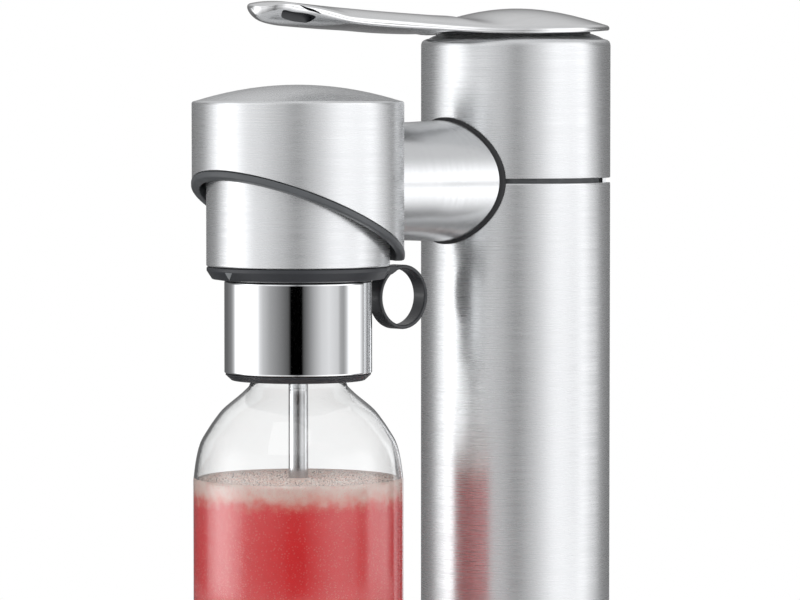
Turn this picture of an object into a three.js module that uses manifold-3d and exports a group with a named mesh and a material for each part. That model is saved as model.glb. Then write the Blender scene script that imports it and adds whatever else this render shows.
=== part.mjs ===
// Sparkling water maker: a column with a gas cylinder inside, a lever on top, and an arm
// that carries a tilting head. A cap with a bottle hangs in the head.
// Millimetres, +Z up. The front of the machine is -Y, and it stands on z = 0.

import * as THREE from 'three';
import { mergeVertices } from 'three/addons/utils/BufferGeometryUtils.js';
import Module from 'manifold-3d';

const wasm = await Module();
wasm.setup();

// Fits
const fit = 0.3; // between two pieces that are seated on each other
const overrun = 2; // how far a cutting shape runs past a face
const mergeDistance = 1e-5;

// Whole machine
const headReach = 125.7; // column axis to head axis
const armHeight = 349.3; // arm axis, seam of the column and tilt axis of the head
const columnRadius = 41.5;
const headRadius = 44.5;
const bottleRadius = 44.1;

// Base
const baseEndRadius = 66;
const baseHeight = 12;
const baseWall = 1.8;
const baseChamfer = 1.5;
const plateThickness = 3;
const footHeight = 3;
const footRadius = 8;
const footStemRadius = 2.5;
const footInset = 19; // from the end of the base
const footSpread = baseEndRadius - footInset;
const footAngle = 48;
const wellRadius = 54;
const wellWall = 1.5;
const trayWall = 1.2;
const grilleThickness = 1.5;
const grilleProud = 1.2;
const grilleSlotWidth = 5;
const grilleSlotPitch = 9;
const grilleRim = 6;

// Column
const columnWall = 1.5;
const seamGap = 2;
const seamLip = 1.5; // thickness of the lip behind the seam at the rear
const seamLipHalfWidth = 28.5;
const seamLipReach = 5; // above and below the seam
const chassisInset = 0.4;
const chassisRadius = columnRadius - columnWall - chassisInset;
const chassisInnerRadius = 33;
const chassisLegReach = 16;
const bayHalfWidth = 30.8;
const coverHalfWidth = 31;
const coverFlange = 7;
const columnRise = 63.9; // above the arm axis, as the next two are
const shoulderRise = 58.6; // where the straight side ends
const deckRise = 50.7;
const columnTop = armHeight + columnRise;
const columnShoulder = armHeight + shoulderRise;
const deckTop = armHeight + deckRise;
const deckThickness = 4;
const deckHoleRadius = 12;

// Screws
const screwRadius = 1.6;
const screwHeadRadius = 3;
const screwHead = 2;
const deckScrewSpread = 20;
const baseScrewSpread = 36.2;
const baseScrewLength = 9;
const deckScrewLength = 9.5;
const armScrewLength = 19;
const armScrewSeat = 30.2;

// Gas cylinder
const cylinderRadius = 30;
const cylinderGap = 15; // over the base plate
const cylinderWall = 2.2;
const cylinderShoulder = 24;
const cylinderNeckRadius = 12.5;
const cylinderNeckBore = 8;
const cylinderValveLength = 39;
const cylinderThreadRadius = 10.3;
const cylinderThreadLength = 12;
const cylinderPinRadius = 1.5;
const cylinderPin = 1.4;

// Valve block under the deck
const valveFlangeRadius = 24;
const valveFlange = 4;
const valveRadius = 17;
const valveHeight = 23.7;
const valveSeatDepth = 14;
const sealThickness = 1.4;
const sealBoreRadius = 3.5;
const portDrop = 20; // below the deck
const portHeight = deckTop - portDrop;
const portRadius = 2.5;
const portReach = 20;
const plugRadius = 3.5;
const plugReach = 21;
const plugDepth = 12.6;
const plugHead = 1.5;

// Lever collar, pivot and plunger
const collarRadius = 32.7;
const collarWall = 2.7;
const collarPlate = 3;
const collarBoss = 3;
const pivotSetback = 28;
const pivotRise = 10; // above the deck
const pivotHeight = deckTop + pivotRise;
const collarRise = 4; // above the pivot
const collarTop = pivotHeight + collarRise;
const pivotPinRadius = 2;
const pivotPinHalf = 13;
const pivotEarHalf = 14.5;
const pivotEarDepth = 10;
const pivotLugHalf = 6;
const pivotLugRadius = 3.6;
const plungerRadius = 3;
const plungerHeadRadius = 8;
const plungerHead = 2.6;
const plungerTravel = 1.1;
const springRadius = 5.5;
const springWireRadius = 0.7;
const springTurns = 5;

// Lever, measured along its length from the column axis
const leverReach = 149.7;
const leverDiscRadius = 41;
const leverRaise = 2.6; // above the pivot
const leverLow = pivotHeight + leverRaise; // lowest point of its edge band
const leverRise = 12.7; // from there to the top of the tip
const leverArmHalf = 12;
const leverWall = 2;
const leverHollowEnd = 52;
const leverNeckEnd = 96;
const leverPocketCore = 6.5; // half of what is left between the two finger pockets
const leverSlitCore = 9.5;
const strikerRadius = 6;
const strikerLength = 7.4;
const strikerBossRadius = 8.5;
const bossGap = 1.6; // from the collar to the boss

// Arm
const armRadius = 26.4;
const armWaistRadius = 25.3;
const armWall = 1.5;
const armCoreRadius = 22;
const armBoreRadius = 17;
const gasketRadius = 27.4;
const gasketThickness = 1.6;
const gasketSpigotRadius = 24.3;
const hoseRadius = 2.5;
const hoseRise = 11.7; // above the arm axis
const hoseHeight = armHeight + hoseRise;

// Head
const headRise = 41.2; // above the arm axis
const domeRise = 6.9;
const headTop = armHeight + headRise;
const headShoulder = headTop - domeRise; // where the dome meets the side
const headCorner = 1.2;
const headWall = 1.5;
const headEdgeDrop = 13.9; // below the arm axis, as the next one is
const headSkirtDrop = 29.7;
const headEdge = armHeight - headEdgeDrop; // height of the slanted edge on the head axis
const headSlant = 19.8; // how much higher the edge is at the front, and lower at the rear
const headSkirtLow = armHeight - headSkirtDrop; // level part of the edge at the rear
const linerInnerRadius = 41.2;
const linerRise = 8.7; // above the arm axis
const linerTop = armHeight + linerRise;
const rimDrop = 3.2;
const rimProud = 0.3;
const frameRise = 17.7; // above the arm axis
const frameLow = armHeight + frameRise;
const framePlate = 5;
const frameHoleRadius = 19;
const lugInner = 24;
const lugThickness = 6;
const lugHalfDepth = 7;
const axleRadius = 4;
const nippleAside = 12;
const nippleRadius = 2;
const nippleRise = 6.7;

// Tilting carriage
const cupRadius = 38.5;
const cupWall = 1.5;
const cupDrop = 34.7; // below the arm axis
const cupBottom = armHeight - cupDrop;
const cupAboveAxis = 3;
const cupHoleRadius = 34;
const blockHeight = 18.4;
const blockTop = cupBottom + blockHeight;
const cheekInner = 31;
const cheekHalfDepth = 10;
const cheekAboveAxis = 6;
const socketRadius = 20.4;
const socketDepth = 10.4;
const sealBore = 16.8;
const sealBoreDepth = 8;
const socketSealHeight = 3;
const inletRingRadius = 7.5;
const inletRingHalf = 4;
const inletStemRadius = 3;

// Cap
const capFlangeRadius = 38.4;
const capFlangeFootRadius = 36.1;
const capFlangeHeight = 5.7;
const capFlangeStraight = 1.5;
const capFlangeBevel = 3.5;
const capFlangeBore = 20.3;
const sleeveRadius = 31;
const sleeveWall = 1.2;
const sleeveDrop = 44.7; // below the cup
const sleeveBottom = cupBottom - sleeveDrop;
const baseRingHeight = 2.8;
const baseRingFootRadius = 28;
const spigotRadius = 20;
const spigotHeight = 9.5; // above the flange
const plugSpigotRadius = 14;
const plugSpigotHeight = 6;
const gasketRingHeight = 1.4;
const gasketRingInner = 12;
const nozzleRadius = 4.1;
const nozzleBoreRadius = 2.8;
const nozzleReach = 55.9; // below the sleeve
const nozzleEnd = sleeveBottom - nozzleReach;
const tipRadius = 3;
const tipLength = 9;
const tipBoreRadius = 1;

// Release ring and vent
const ringFrontGap = 11.6; // to the cap
const ringRearGap = 14; // to the column
const ringRadius = (headReach - columnRadius - sleeveRadius - ringFrontGap - ringRearGap) / 2;
const ringWall = 1.8;
const ringHoleRadius = ringRadius - ringWall;
const ringHalfWidth = 3.85;
const ringSetback = sleeveRadius + ringFrontGap + ringRadius; // behind the head axis
const releasePivotSetback = 32.5;
const releasePivotDrop = 2.9; // below the cup
const releasePivotHeight = cupBottom - releasePivotDrop;
const ringTopRise = 2.1; // above the pivot
const ringHeight = releasePivotHeight + ringTopRise - ringRadius;
const releasePinRadius = 1;
const releasePinHalf = 9;
const releaseArmHalf = 1.9; // half the thickness of the arm
const ventSetback = 13;
const ventStemRadius = 1.8;
const ventFlangeRadius = 3.6;
const ventFlange = 1.2;
const ventSpringRadius = 2.8;
const ventSpringWire = 0.4;
const ventSpringTurns = 4;
const ventRoof = 2;

// Bottle and drink
const bottleGap = 14; // over the base
const bottleWall = 1.2;
const neckRadius = 19.6;
const mouthDrop = 17.6; // below the cup
const neckTop = cupBottom - mouthDrop;
const threadProud = 0.9;
const threadWidth = 2;
const threadPitch = 8;
const threadCount = 1;
const threadFirst = 8; // below the mouth
const neckLength = 33;
const shoulderLength = 39;
const shoulderTop = neckTop - neckLength; // where the neck spreads
const shoulderBottom = shoulderTop - shoulderLength; // where the side is straight
const shoulderTopRadius = 20.8;
const bottleBaseHeight = 27;
const bottleBaseWall = 0.8;
const bottleCorner = 7;
const drinkRise = 0.4;
const drinkTop = shoulderBottom + drinkRise;

// Facets round a turned piece: what shows, what is inside, and small rods
const showFacets = 24;
const innerFacets = 20;
const smallFacets = 8;

const degree = Math.PI / 180;

// Heights that follow from the sizes above
const plateTop = footHeight + plateThickness;
const coverTop = footHeight + baseHeight;
const wellFloor = plateTop + fit + trayWall;
const trayBottom = wellFloor + fit;
const grilleTop = coverTop + grilleProud;
const grilleBottom = grilleTop - grilleThickness;
const bottleBottom = coverTop + bottleGap;
const seamLow = armHeight - seamGap / 2;
const seamHigh = armHeight + seamGap / 2;
const shellBottom = coverTop + fit;
const deckBottom = deckTop - deckThickness;
const valveTop = deckBottom - fit;
const valveBottom = valveTop - valveHeight;
const seatHeight = valveBottom + valveSeatDepth;
const cylinderTop = seatHeight - sealThickness - 2 * fit; // top face of its valve
const cylinderBottom = plateTop + cylinderGap;
const cylinderNeckTop = cylinderTop - cylinderValveLength;
const plungerTop = collarTop - fit;
const plungerBottom = cylinderTop + cylinderPin + plungerTravel + fit;
const cupTop = armHeight + cupAboveAxis;
const flangeTop = cupBottom - fit;
const flangeBottom = flangeTop - capFlangeHeight;
const sleeveTop = flangeBottom - fit;
const baseRingBottom = sleeveBottom - fit - baseRingHeight;
const spigotTop = flangeTop + spigotHeight;
const plugTop = spigotTop + plugSpigotHeight;
const coreRadius = sleeveRadius - sleeveWall - fit;
const neckBore = neckRadius + threadProud + fit;
const gasketRingBottom = neckTop + fit;
const capRoofLow = gasketRingBottom + gasketRingHeight + fit;
const inletStemTop = armHeight - inletRingRadius;
const armScrewSpread = (armBoreRadius + armCoreRadius) / 2 / Math.SQRT2; // middle of the core's wall

// Solids

function toManifold(geometry) {
  const bare = geometry.clone();
  for (const name of Object.keys(bare.attributes)) {
    if (name !== 'position') bare.deleteAttribute(name);
  }
  const merged = mergeVertices(bare, mergeDistance);
  const corners = merged.index.array;
  const points = merged.attributes.position;
  const triangles = [];
  let volume = 0;
  const [a, b, c] = [new THREE.Vector3(), new THREE.Vector3(), new THREE.Vector3()];
  for (let k = 0; k < corners.length; k += 3) {
    const [i, j, l] = corners.slice(k, k + 3);
    if (i === j || j === l || l === i) continue;
    triangles.push(i, j, l);
    a.fromBufferAttribute(points, i);
    b.fromBufferAttribute(points, j);
    c.fromBufferAttribute(points, l);
    volume += a.dot(b.cross(c));
  }
  if (volume < 0) triangles.reverse();
  return new wasm.Manifold(new wasm.Mesh({
    numProp: 3,
    vertProperties: Float32Array.from(points.array),
    triVerts: Uint32Array.from(triangles),
  }));
}

function toGeometry(manifold) {
  const mesh = manifold.getMesh();
  const geometry = new THREE.BufferGeometry();
  geometry.setAttribute('position', new THREE.BufferAttribute(mesh.vertProperties, 3));
  geometry.setIndex(new THREE.BufferAttribute(mesh.triVerts, 1));
  geometry.computeVertexNormals();
  return geometry;
}

function cut(body, ...tools) {
  let solid = toManifold(body);
  for (const tool of tools) solid = solid.subtract(toManifold(tool));
  return toGeometry(solid);
}

function join(...bodies) {
  let solid = toManifold(bodies[0]);
  for (const body of bodies.slice(1)) solid = solid.add(toManifold(body));
  return toGeometry(solid);
}

function common(body, tool) {
  return toGeometry(toManifold(body).intersect(toManifold(tool)));
}

// A profile of [radius, height] points turned about Z, with its first point repeated
// at the end where it does not touch the axis.
function turned(profile, facets) {
  const points = profile.map(([radius, height]) => new THREE.Vector2(radius, height));
  if (profile[0][0] > 0 || profile[profile.length - 1][0] > 0) points.push(points[0].clone());
  const geometry = new THREE.LatheGeometry(points, facets);
  geometry.rotateX(Math.PI / 2);
  return toGeometry(toManifold(geometry));
}

function disc(radius, low, high, facets = innerFacets) {
  return turned([[0, low], [radius, low], [radius, high], [0, high]], facets);
}

function pipe(outer, inner, low, high, facets = innerFacets) {
  return turned([[inner, low], [outer, low], [outer, high], [inner, high]], facets);
}

function block(halfWidth, front, rear, low, high) {
  const geometry = new THREE.BoxGeometry(2 * halfWidth, rear - front, high - low);
  return geometry.translate(0, (front + rear) / 2, (low + high) / 2);
}

function upright(shape, low, high, facets = innerFacets) {
  const settings = { depth: high - low, bevelEnabled: false, curveSegments: facets / 2 };
  return new THREE.ExtrudeGeometry(shape, settings).translate(0, 0, low);
}

// Turns a piece made about Z so that its +Z points to +X, or to +Y.
const toX = (geometry) => geometry.rotateY(Math.PI / 2);
const toY = (geometry) => geometry.rotateX(-Math.PI / 2);

function rodX(radius, low, high, y, z, facets = smallFacets) {
  return toX(disc(radius, low, high, facets)).translate(0, y, z);
}

function rodY(radius, low, high, x, z, facets = smallFacets) {
  return toY(disc(radius, low, high, facets)).translate(x, 0, z);
}

// One unbroken tube round Z, with the same curls as a real spring.
function coil(radius, wireRadius, turns, low, high, name) {
  const steps = 8;
  const sides = 5;
  const count = turns * steps;
  const climb = high - low - 2 * wireRadius;
  const positions = [];
  const indices = [];
  const centres = [];
  for (let k = 0; k <= count; k += 1) {
    const angle = (2 * Math.PI * k) / steps;
    const out = new THREE.Vector3(Math.cos(angle), Math.sin(angle), 0);
    const centre = out.clone().multiplyScalar(radius);
    centre.z = low + wireRadius + (climb * k) / count;
    centres.push(centre);
    for (let side = 0; side < sides; side += 1) {
      const turn = (2 * Math.PI * side) / sides;
      const point = centre.clone().addScaledVector(out, wireRadius * Math.cos(turn));
      point.z += wireRadius * Math.sin(turn);
      positions.push(...point.toArray());
    }
  }
  for (let k = 0; k < count; k += 1) {
    for (let side = 0; side < sides; side += 1) {
      const next = (side + 1) % sides;
      const [i, j] = [k * sides + side, k * sides + next];
      indices.push(i, j, i + sides, j, j + sides, i + sides);
    }
  }
  for (let side = 1; side < sides - 1; side += 1) {
    const last = count * sides;
    indices.push(0, side + 1, side, last, last + side, last + side + 1);
  }
  let gap = Infinity;
  centres.forEach((centre, k) => {
    for (const other of centres.slice(k + steps / 2)) gap = Math.min(gap, centre.distanceTo(other));
  });
  console.log(`${name}: least gap to itself ${(gap - 2 * wireRadius).toFixed(2)} mm`);
  const geometry = new THREE.BufferGeometry();
  geometry.setAttribute('position', new THREE.Float32BufferAttribute(positions, 3));
  geometry.setIndex(indices);
  return toGeometry(toManifold(geometry));
}

// Base

// Outline with a round end about each axis.
function endToEnd(radius) {
  const shape = new THREE.Shape();
  shape.absarc(0, 0, radius, 0, Math.PI, false);
  shape.absarc(0, -headReach, radius, Math.PI, 2 * Math.PI, false);
  shape.closePath();
  return shape;
}

function atHead(geometry) {
  return geometry.translate(0, -headReach, 0);
}

function footPlaces() {
  const aside = footSpread * Math.sin(footAngle * degree);
  const ahead = footSpread * Math.cos(footAngle * degree);
  return {
    foot_front_left: [-aside, -headReach - ahead],
    foot_front_right: [aside, -headReach - ahead],
    foot_rear_left: [-aside, ahead],
    foot_rear_right: [aside, ahead],
  };
}

function baseScrewPlaces() {
  const places = [];
  for (const angle of [210, 270, 330]) {
    const turn = angle * degree;
    places.push([baseScrewSpread * Math.cos(turn), baseScrewSpread * Math.sin(turn)]);
  }
  return places;
}

function foot() {
  const stemTop = footHeight + plateThickness - fit;
  return turned([
    [0, 0], [footRadius, 0], [footRadius, footHeight - fit],
    [footStemRadius, footHeight - fit], [footStemRadius, stemTop], [0, stemTop],
  ], innerFacets);
}

function basePlate() {
  const plate = upright(endToEnd(baseEndRadius - baseWall - fit), footHeight, plateTop, showFacets);
  const holes = Object.values(footPlaces()).map(([x, y]) => (
    disc(footStemRadius + fit, 0, coverTop, smallFacets).translate(x, y, 0)));
  for (const [x, y] of baseScrewPlaces()) {
    holes.push(disc(screwRadius + fit, 0, coverTop, smallFacets).translate(x, y, 0));
    const sink = footHeight + screwHead + fit;
    holes.push(disc(screwHeadRadius + fit, 0, sink, smallFacets).translate(x, y, 0));
  }
  return cut(plate, ...holes);
}

function baseCover() {
  const settings = {
    depth: baseHeight - baseChamfer, bevelEnabled: true, bevelSegments: 1,
    bevelSize: baseChamfer, bevelThickness: baseChamfer, curveSegments: showFacets / 2,
  };
  const outline = endToEnd(baseEndRadius - baseChamfer);
  const outside = new THREE.ExtrudeGeometry(outline, settings).translate(0, 0, footHeight);
  const belowFoot = block(baseEndRadius + overrun, -headReach - baseEndRadius - overrun,
    baseEndRadius + overrun, footHeight - 2 * baseChamfer, footHeight);
  const hollow = cut(
    upright(endToEnd(baseEndRadius - baseWall), footHeight - overrun, coverTop - baseWall, showFacets),
    atHead(disc(wellRadius + wellWall, plateTop + fit, coverTop, showFacets)),
  );
  const well = atHead(disc(wellRadius, wellFloor, coverTop + overrun, showFacets));
  const columnHole = disc(chassisRadius + fit, footHeight - overrun, coverTop + overrun, showFacets);
  return cut(outside, belowFoot, hollow, well, columnHole);
}

// A screw with its head's outer face at 0 and its end at +Z.
function screw(length) {
  return turned([
    [0, 0], [screwHeadRadius, 0], [screwHeadRadius, screwHead], [screwRadius, screwHead],
    [screwRadius, length], [0, length],
  ], smallFacets);
}

function dripTray() {
  const outer = wellRadius - fit;
  const rim = grilleBottom - fit;
  return turned([
    [0, trayBottom], [outer, trayBottom], [outer, rim], [outer - trayWall, rim],
    [outer - trayWall, trayBottom + trayWall], [0, trayBottom + trayWall],
  ], showFacets);
}

function dripGrille() {
  const field = wellRadius - fit - grilleRim;
  const slotRadius = grilleSlotWidth / 2;
  const rows = Math.floor((field - slotRadius) / grilleSlotPitch);
  const slots = [];
  for (let row = -rows; row <= rows; row += 1) {
    const x = row * grilleSlotPitch;
    const half = Math.sqrt(field * field - x * x) - slotRadius;
    const slot = new THREE.Shape();
    slot.absarc(x, half, slotRadius, 0, Math.PI, false);
    slot.absarc(x, -half, slotRadius, Math.PI, 2 * Math.PI, false);
    slot.closePath();
    slots.push(upright(slot, grilleBottom - overrun, grilleTop + overrun, smallFacets));
  }
  return cut(disc(wellRadius - fit, grilleBottom, grilleTop, showFacets), ...slots);
}

// Column

function armNotch() {
  return rodY(gasketSpigotRadius + fit, -columnRadius - overrun, 0, 0, armHeight, innerFacets);
}

function chassis() {
  const low = plateTop + fit;
  const wall = pipe(chassisRadius, chassisInnerRadius, low, deckTop, showFacets);
  const floor = disc(chassisRadius, low, low + plateThickness, showFacets);
  const deck = pipe(chassisRadius, deckHoleRadius, deckBottom, deckTop, showFacets);
  const body = join(wall, floor, deck);
  const bay = block(bayHalfWidth, 0, chassisRadius + overrun, low + plateThickness, deckBottom - valveFlange);
  const behind = block(columnRadius, chassisLegReach, chassisRadius + overrun,
    low + plateThickness, deckBottom - valveFlange);
  const tools = [bay, behind];
  tools.push(rodY(hoseRadius + 2 * fit, -chassisRadius - overrun, -chassisInnerRadius + overrun, 0, hoseHeight));
  for (const [x, y] of baseScrewPlaces()) {
    tools.push(disc(screwRadius + fit, footHeight, footHeight + baseScrewLength + fit, smallFacets)
      .translate(x, y, 0));
  }
  for (const [x, y] of deckScrewPlaces()) {
    tools.push(disc(screwRadius + fit, deckBottom - overrun, deckTop + overrun, smallFacets).translate(x, y, 0));
  }
  for (const [x, z] of armScrewPlaces()) {
    tools.push(rodY(screwRadius + fit, -chassisRadius - overrun, 0, x, z));
    tools.push(rodY(screwHeadRadius + fit, -armScrewSeat - fit, 0, x, z));
  }
  return cut(body, ...tools);
}

function deckScrewPlaces() {
  return [30, 150, 270].map((angle) => (
    [deckScrewSpread * Math.cos(angle * degree), deckScrewSpread * Math.sin(angle * degree)]));
}

function armScrewPlaces() {
  const places = [];
  for (const x of [-armScrewSpread, armScrewSpread]) {
    for (const z of [-armScrewSpread, armScrewSpread]) places.push([x, armHeight + z]);
  }
  return places;
}

function lowerShell() {
  const shell = pipe(columnRadius, columnRadius - columnWall, shellBottom, seamLow, showFacets);
  const rear = block(coverHalfWidth, 0, columnRadius + overrun, shellBottom - overrun, seamLow + overrun);
  return cut(shell, rear, armNotch());
}

function rearCover() {
  const low = shellBottom + fit;
  const high = seamLow - fit;
  const half = coverHalfWidth - fit;
  const shell = pipe(columnRadius, columnRadius - columnWall, low, high, showFacets);
  const panel = common(shell, block(half, 0, columnRadius + overrun, low, high));
  const flangeRear = Math.sqrt((columnRadius - columnWall) ** 2 - half ** 2) + columnWall / 2;
  const flange = block(columnWall / 2, flangeRear - coverFlange, flangeRear, low, high);
  const aside = bayHalfWidth - fit - columnWall / 2;
  return join(panel, flange.clone().translate(aside, 0, 0), flange.clone().translate(-aside, 0, 0));
}

function upperShell() {
  const inner = columnRadius - columnWall;
  const [cornerShare, ledgeShare] = [0.99, 0.955]; // radii of the rounded shoulder
  const [cornerRiseShare, ledgeRiseShare] = [0.38, 0.585]; // and its heights
  const rise = columnTop - columnShoulder;
  const mouth = collarRadius + fit;
  const outline = (radius, drop) => [
    [radius, columnShoulder - drop / 2],
    [radius * cornerShare, columnShoulder + rise * cornerRiseShare - drop / 2],
    [radius * ledgeShare, columnShoulder + rise * ledgeRiseShare - drop],
    [mouth, columnTop - drop],
  ];
  const profile = [[columnRadius, seamHigh], ...outline(columnRadius, 0),
    ...outline(inner, columnWall).reverse(), [inner, seamHigh]];
  return cut(join(turned(profile, showFacets), rearLip()), armNotch());
}

// Closes the seam behind the top of the rear cover.
function rearLip() {
  const outer = columnRadius - columnWall - fit;
  const low = seamLow - seamLipReach;
  const high = seamHigh + seamLipReach;
  const ring = join(
    pipe(outer, outer - seamLip, low, high, showFacets),
    pipe(columnRadius - columnWall / 2, outer - seamLip, seamHigh + fit, high, showFacets),
  );
  return common(ring, block(seamLipHalfWidth, chassisLegReach, columnRadius, low, high));
}

function leverCollar() {
  const low = deckTop + fit;
  const ring = turned([
    [collarRadius - collarWall, low], [collarRadius, low], [collarRadius, collarTop],
    [deckHoleRadius, collarTop], [deckHoleRadius, low], [deckHoleRadius + collarBoss, low],
    [deckHoleRadius + collarBoss, collarTop - collarPlate],
    [collarRadius - collarWall, collarTop - collarPlate],
  ], showFacets);
  const earFront = pivotSetback - pivotEarDepth / 2;
  const ears = common(
    block(pivotEarHalf, earFront, pivotSetback + pivotEarDepth / 2, deckTop + fit + screwHead, collarTop),
    disc(collarRadius, low, collarTop, showFacets),
  );
  const slotHalf = pivotLugHalf + fit;
  const slot = block(slotHalf, earFront - overrun, collarRadius + overrun, low - overrun, collarTop + overrun);
  const hole = rodX(pivotPinRadius + fit, -pivotEarHalf - overrun, pivotEarHalf + overrun,
    pivotSetback, pivotHeight);
  return cut(join(ring, ears), slot, hole);
}

// Gas side

function valveBody() {
  const body = join(
    disc(valveRadius, valveBottom, valveTop),
    disc(valveFlangeRadius, valveTop - valveFlange, valveTop),
    rodY(portRadius, -portReach, 0, 0, portHeight),
  );
  const tools = [
    disc(cylinderThreadRadius + fit, valveBottom - overrun, seatHeight),
    disc(plungerRadius + fit, seatHeight - overrun, valveTop + overrun, smallFacets),
    rodX(plugRadius + fit, plugDepth - fit, valveRadius + overrun, 0, portHeight),
  ];
  for (const [x, y] of deckScrewPlaces()) {
    tools.push(disc(screwRadius + fit, valveTop - valveFlange - overrun, valveTop + overrun, smallFacets)
      .translate(x, y, 0));
  }
  return cut(body, ...tools);
}

function reliefPlug() {
  return join(
    rodX(plugRadius, plugDepth, plugReach - plugHead, 0, portHeight),
    rodX(plugRadius + plugHead, valveRadius + fit, plugReach, 0, portHeight, 6),
  );
}

function gasCylinder() {
  const [upShare, midShare] = [0.8, 0.45]; // radius of the dome part of the way up
  const shoulder = cylinderNeckTop - cylinderShoulder;
  const neckLow = cylinderNeckTop - cylinderShoulder / 4;
  const inner = cylinderRadius - cylinderWall;
  const spread = cylinderRadius - cylinderNeckRadius;
  return turned([
    [0, cylinderBottom + cylinderWall], [inner, cylinderBottom + cylinderWall + cylinderWall],
    [inner, shoulder - cylinderWall], [cylinderNeckBore, neckLow - cylinderWall],
    [cylinderNeckBore, cylinderNeckTop], [cylinderNeckRadius, cylinderNeckTop],
    [cylinderNeckRadius, neckLow],
    [cylinderNeckRadius + spread * midShare, neckLow - cylinderShoulder / 8],
    [cylinderNeckRadius + spread * upShare, shoulder + cylinderShoulder / 3],
    [cylinderRadius, shoulder], [cylinderRadius, cylinderBottom + 2 * cylinderWall],
    [cylinderRadius - 2 * cylinderWall, cylinderBottom], [0, cylinderBottom],
  ], showFacets);
}

function cylinderValve() {
  const low = cylinderNeckTop - cylinderThreadLength / 2;
  const shank = cylinderTop - cylinderThreadLength;
  return turned([
    [0, low], [cylinderNeckBore - fit, low], [cylinderNeckBore - fit, cylinderNeckTop + fit],
    [cylinderNeckRadius, cylinderNeckTop + fit], [cylinderNeckRadius, shank - overrun],
    [cylinderThreadRadius, shank - overrun], [cylinderThreadRadius, cylinderTop],
    [cylinderPinRadius, cylinderTop], [cylinderPinRadius, cylinderTop + cylinderPin],
    [0, cylinderTop + cylinderPin],
  ], innerFacets);
}

function plunger() {
  return turned([
    [0, plungerBottom], [plungerRadius, plungerBottom], [plungerRadius, plungerTop - plungerHead],
    [plungerHeadRadius, plungerTop - plungerHead], [plungerHeadRadius, plungerTop], [0, plungerTop],
  ], innerFacets);
}

function gasHose() {
  const section = new THREE.Shape();
  section.absarc(0, 0, hoseRadius, 0, 2 * Math.PI, false);
  const drop = portHeight - hoseHeight;
  const bend = 3 * hoseRadius;
  const wall = -chassisInnerRadius;
  const top = armHeight + nippleRise + fit;
  const route = [
    [0, -portReach - fit, portHeight], [0, wall + bend + hoseRadius, portHeight],
    [0, wall + bend, portHeight - drop / 4], [0, wall + bend - hoseRadius, hoseHeight + drop / 4],
    [0, wall, hoseHeight], [0, wall - bend, hoseHeight], [0, -headReach + headRadius, hoseHeight],
    [0, -headReach + linerInnerRadius - bend, hoseHeight],
    [nippleAside / 2, -headReach + bend + hoseRadius, hoseHeight + fit],
    [nippleAside, -headReach + hoseRadius, hoseHeight],
    [nippleAside, -headReach, top + hoseRadius], [nippleAside, -headReach, top],
  ].map(([x, y, z]) => new THREE.Vector3(x, y, z));
  const path = new THREE.CatmullRomCurve3(route, false, 'centripetal');
  const settings = { steps: 36, bevelEnabled: false, extrudePath: path, curveSegments: 4 };
  return new THREE.ExtrudeGeometry(section, settings);
}

// Lever

// Smooth curve through a table of [place, value] pairs.
function along(table, place) {
  if (place <= table[0][0]) return table[0][1];
  const last = table.length - 1;
  if (place >= table[last][0]) return table[last][1];
  const k = table.findIndex((entry) => entry[0] > place) - 1;
  const slope = (i) => {
    const [before, after] = [table[Math.max(i - 1, 0)], table[Math.min(i + 1, last)]];
    return (after[1] - before[1]) / (after[0] - before[0]);
  };
  const span = table[k + 1][0] - table[k][0];
  const t = (place - table[k][0]) / span;
  return (2 * t ** 3 - 3 * t ** 2 + 1) * table[k][1] + (t ** 3 - 2 * t ** 2 + t) * span * slope(k)
    + (3 * t ** 2 - 2 * t ** 3) * table[k + 1][1] + (t ** 3 - t ** 2) * span * slope(k + 1);
}

// Side view of the lever: places are shares of its reach, heights are shares of its rise.
const bandLowShares = [[-0.27, 0.17], [-0.16, 0.14], [-0.03, 0.07], [0.06, 0.03], [0.2, 0],
  [0.32, 0.06], [0.41, 0.12], [0.57, 0.21], [0.65, 0.26], [0.71, 0.33], [0.765, 0.44],
  [0.82, 0.57], [0.9, 0.67], [0.95, 0.74], [1, 0.7]];
const bandHighShares = [[-0.27, 0.31], [-0.16, 0.3], [0.07, 0.24], [0.21, 0.23], [0.32, 0.28],
  [0.42, 0.35], [0.54, 0.43], [0.71, 0.54], [0.765, 0.66], [0.82, 0.77], [0.9, 0.88],
  [0.95, 0.93], [1, 0.84]];
const crestShares = [[-0.27, 0.32], [-0.24, 0.47], [-0.207, 0.64], [-0.1, 0.85], [0, 0.913],
  [0.1, 0.85], [0.2, 0.69], [0.26, 0.63], [0.33, 0.63], [0.4, 0.66], [0.54, 0.73],
  [0.64, 0.79], [0.76, 0.87], [0.87, 0.95], [0.94, 1], [0.98, 0.94], [1, 0.86]];
const bellyShares = [[0.33, 0.05], [0.36, 0.0], [0.42, -0.03], [0.55, -0.01], [0.66, 0.055],
  [0.765, 0.1], [0.885, 0.17], [0.925, 0.21], [0.965, 0.3], [0.985, 0.41], [1, 0.55]];

function leverHalfWidth(place, inset) {
  const radius = leverDiscRadius - inset;
  const joinShare = 0.6;
  const joinPlace = radius * joinShare;
  if (place <= joinPlace) return Math.sqrt(Math.max(radius ** 2 - place ** 2, 0));
  const arm = leverArmHalf - inset;
  const end = leverReach - inset;
  const tip = leverArmHalf;
  if (place > end - tip) return arm * Math.sqrt(Math.max(1 - ((place - end + tip) / tip) ** 2, 0));
  if (place > leverNeckEnd) return arm;
  const span = leverNeckEnd - joinPlace;
  const t = (place - joinPlace) / span;
  const joinWidth = Math.sqrt(radius ** 2 - joinPlace ** 2);
  const joinSlope = -joinPlace / joinWidth;
  return (2 * t ** 3 - 3 * t ** 2 + 1) * joinWidth + (t ** 3 - 2 * t ** 2 + t) * span * joinSlope
    + (3 * t ** 2 - 2 * t ** 3) * arm;
}

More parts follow.
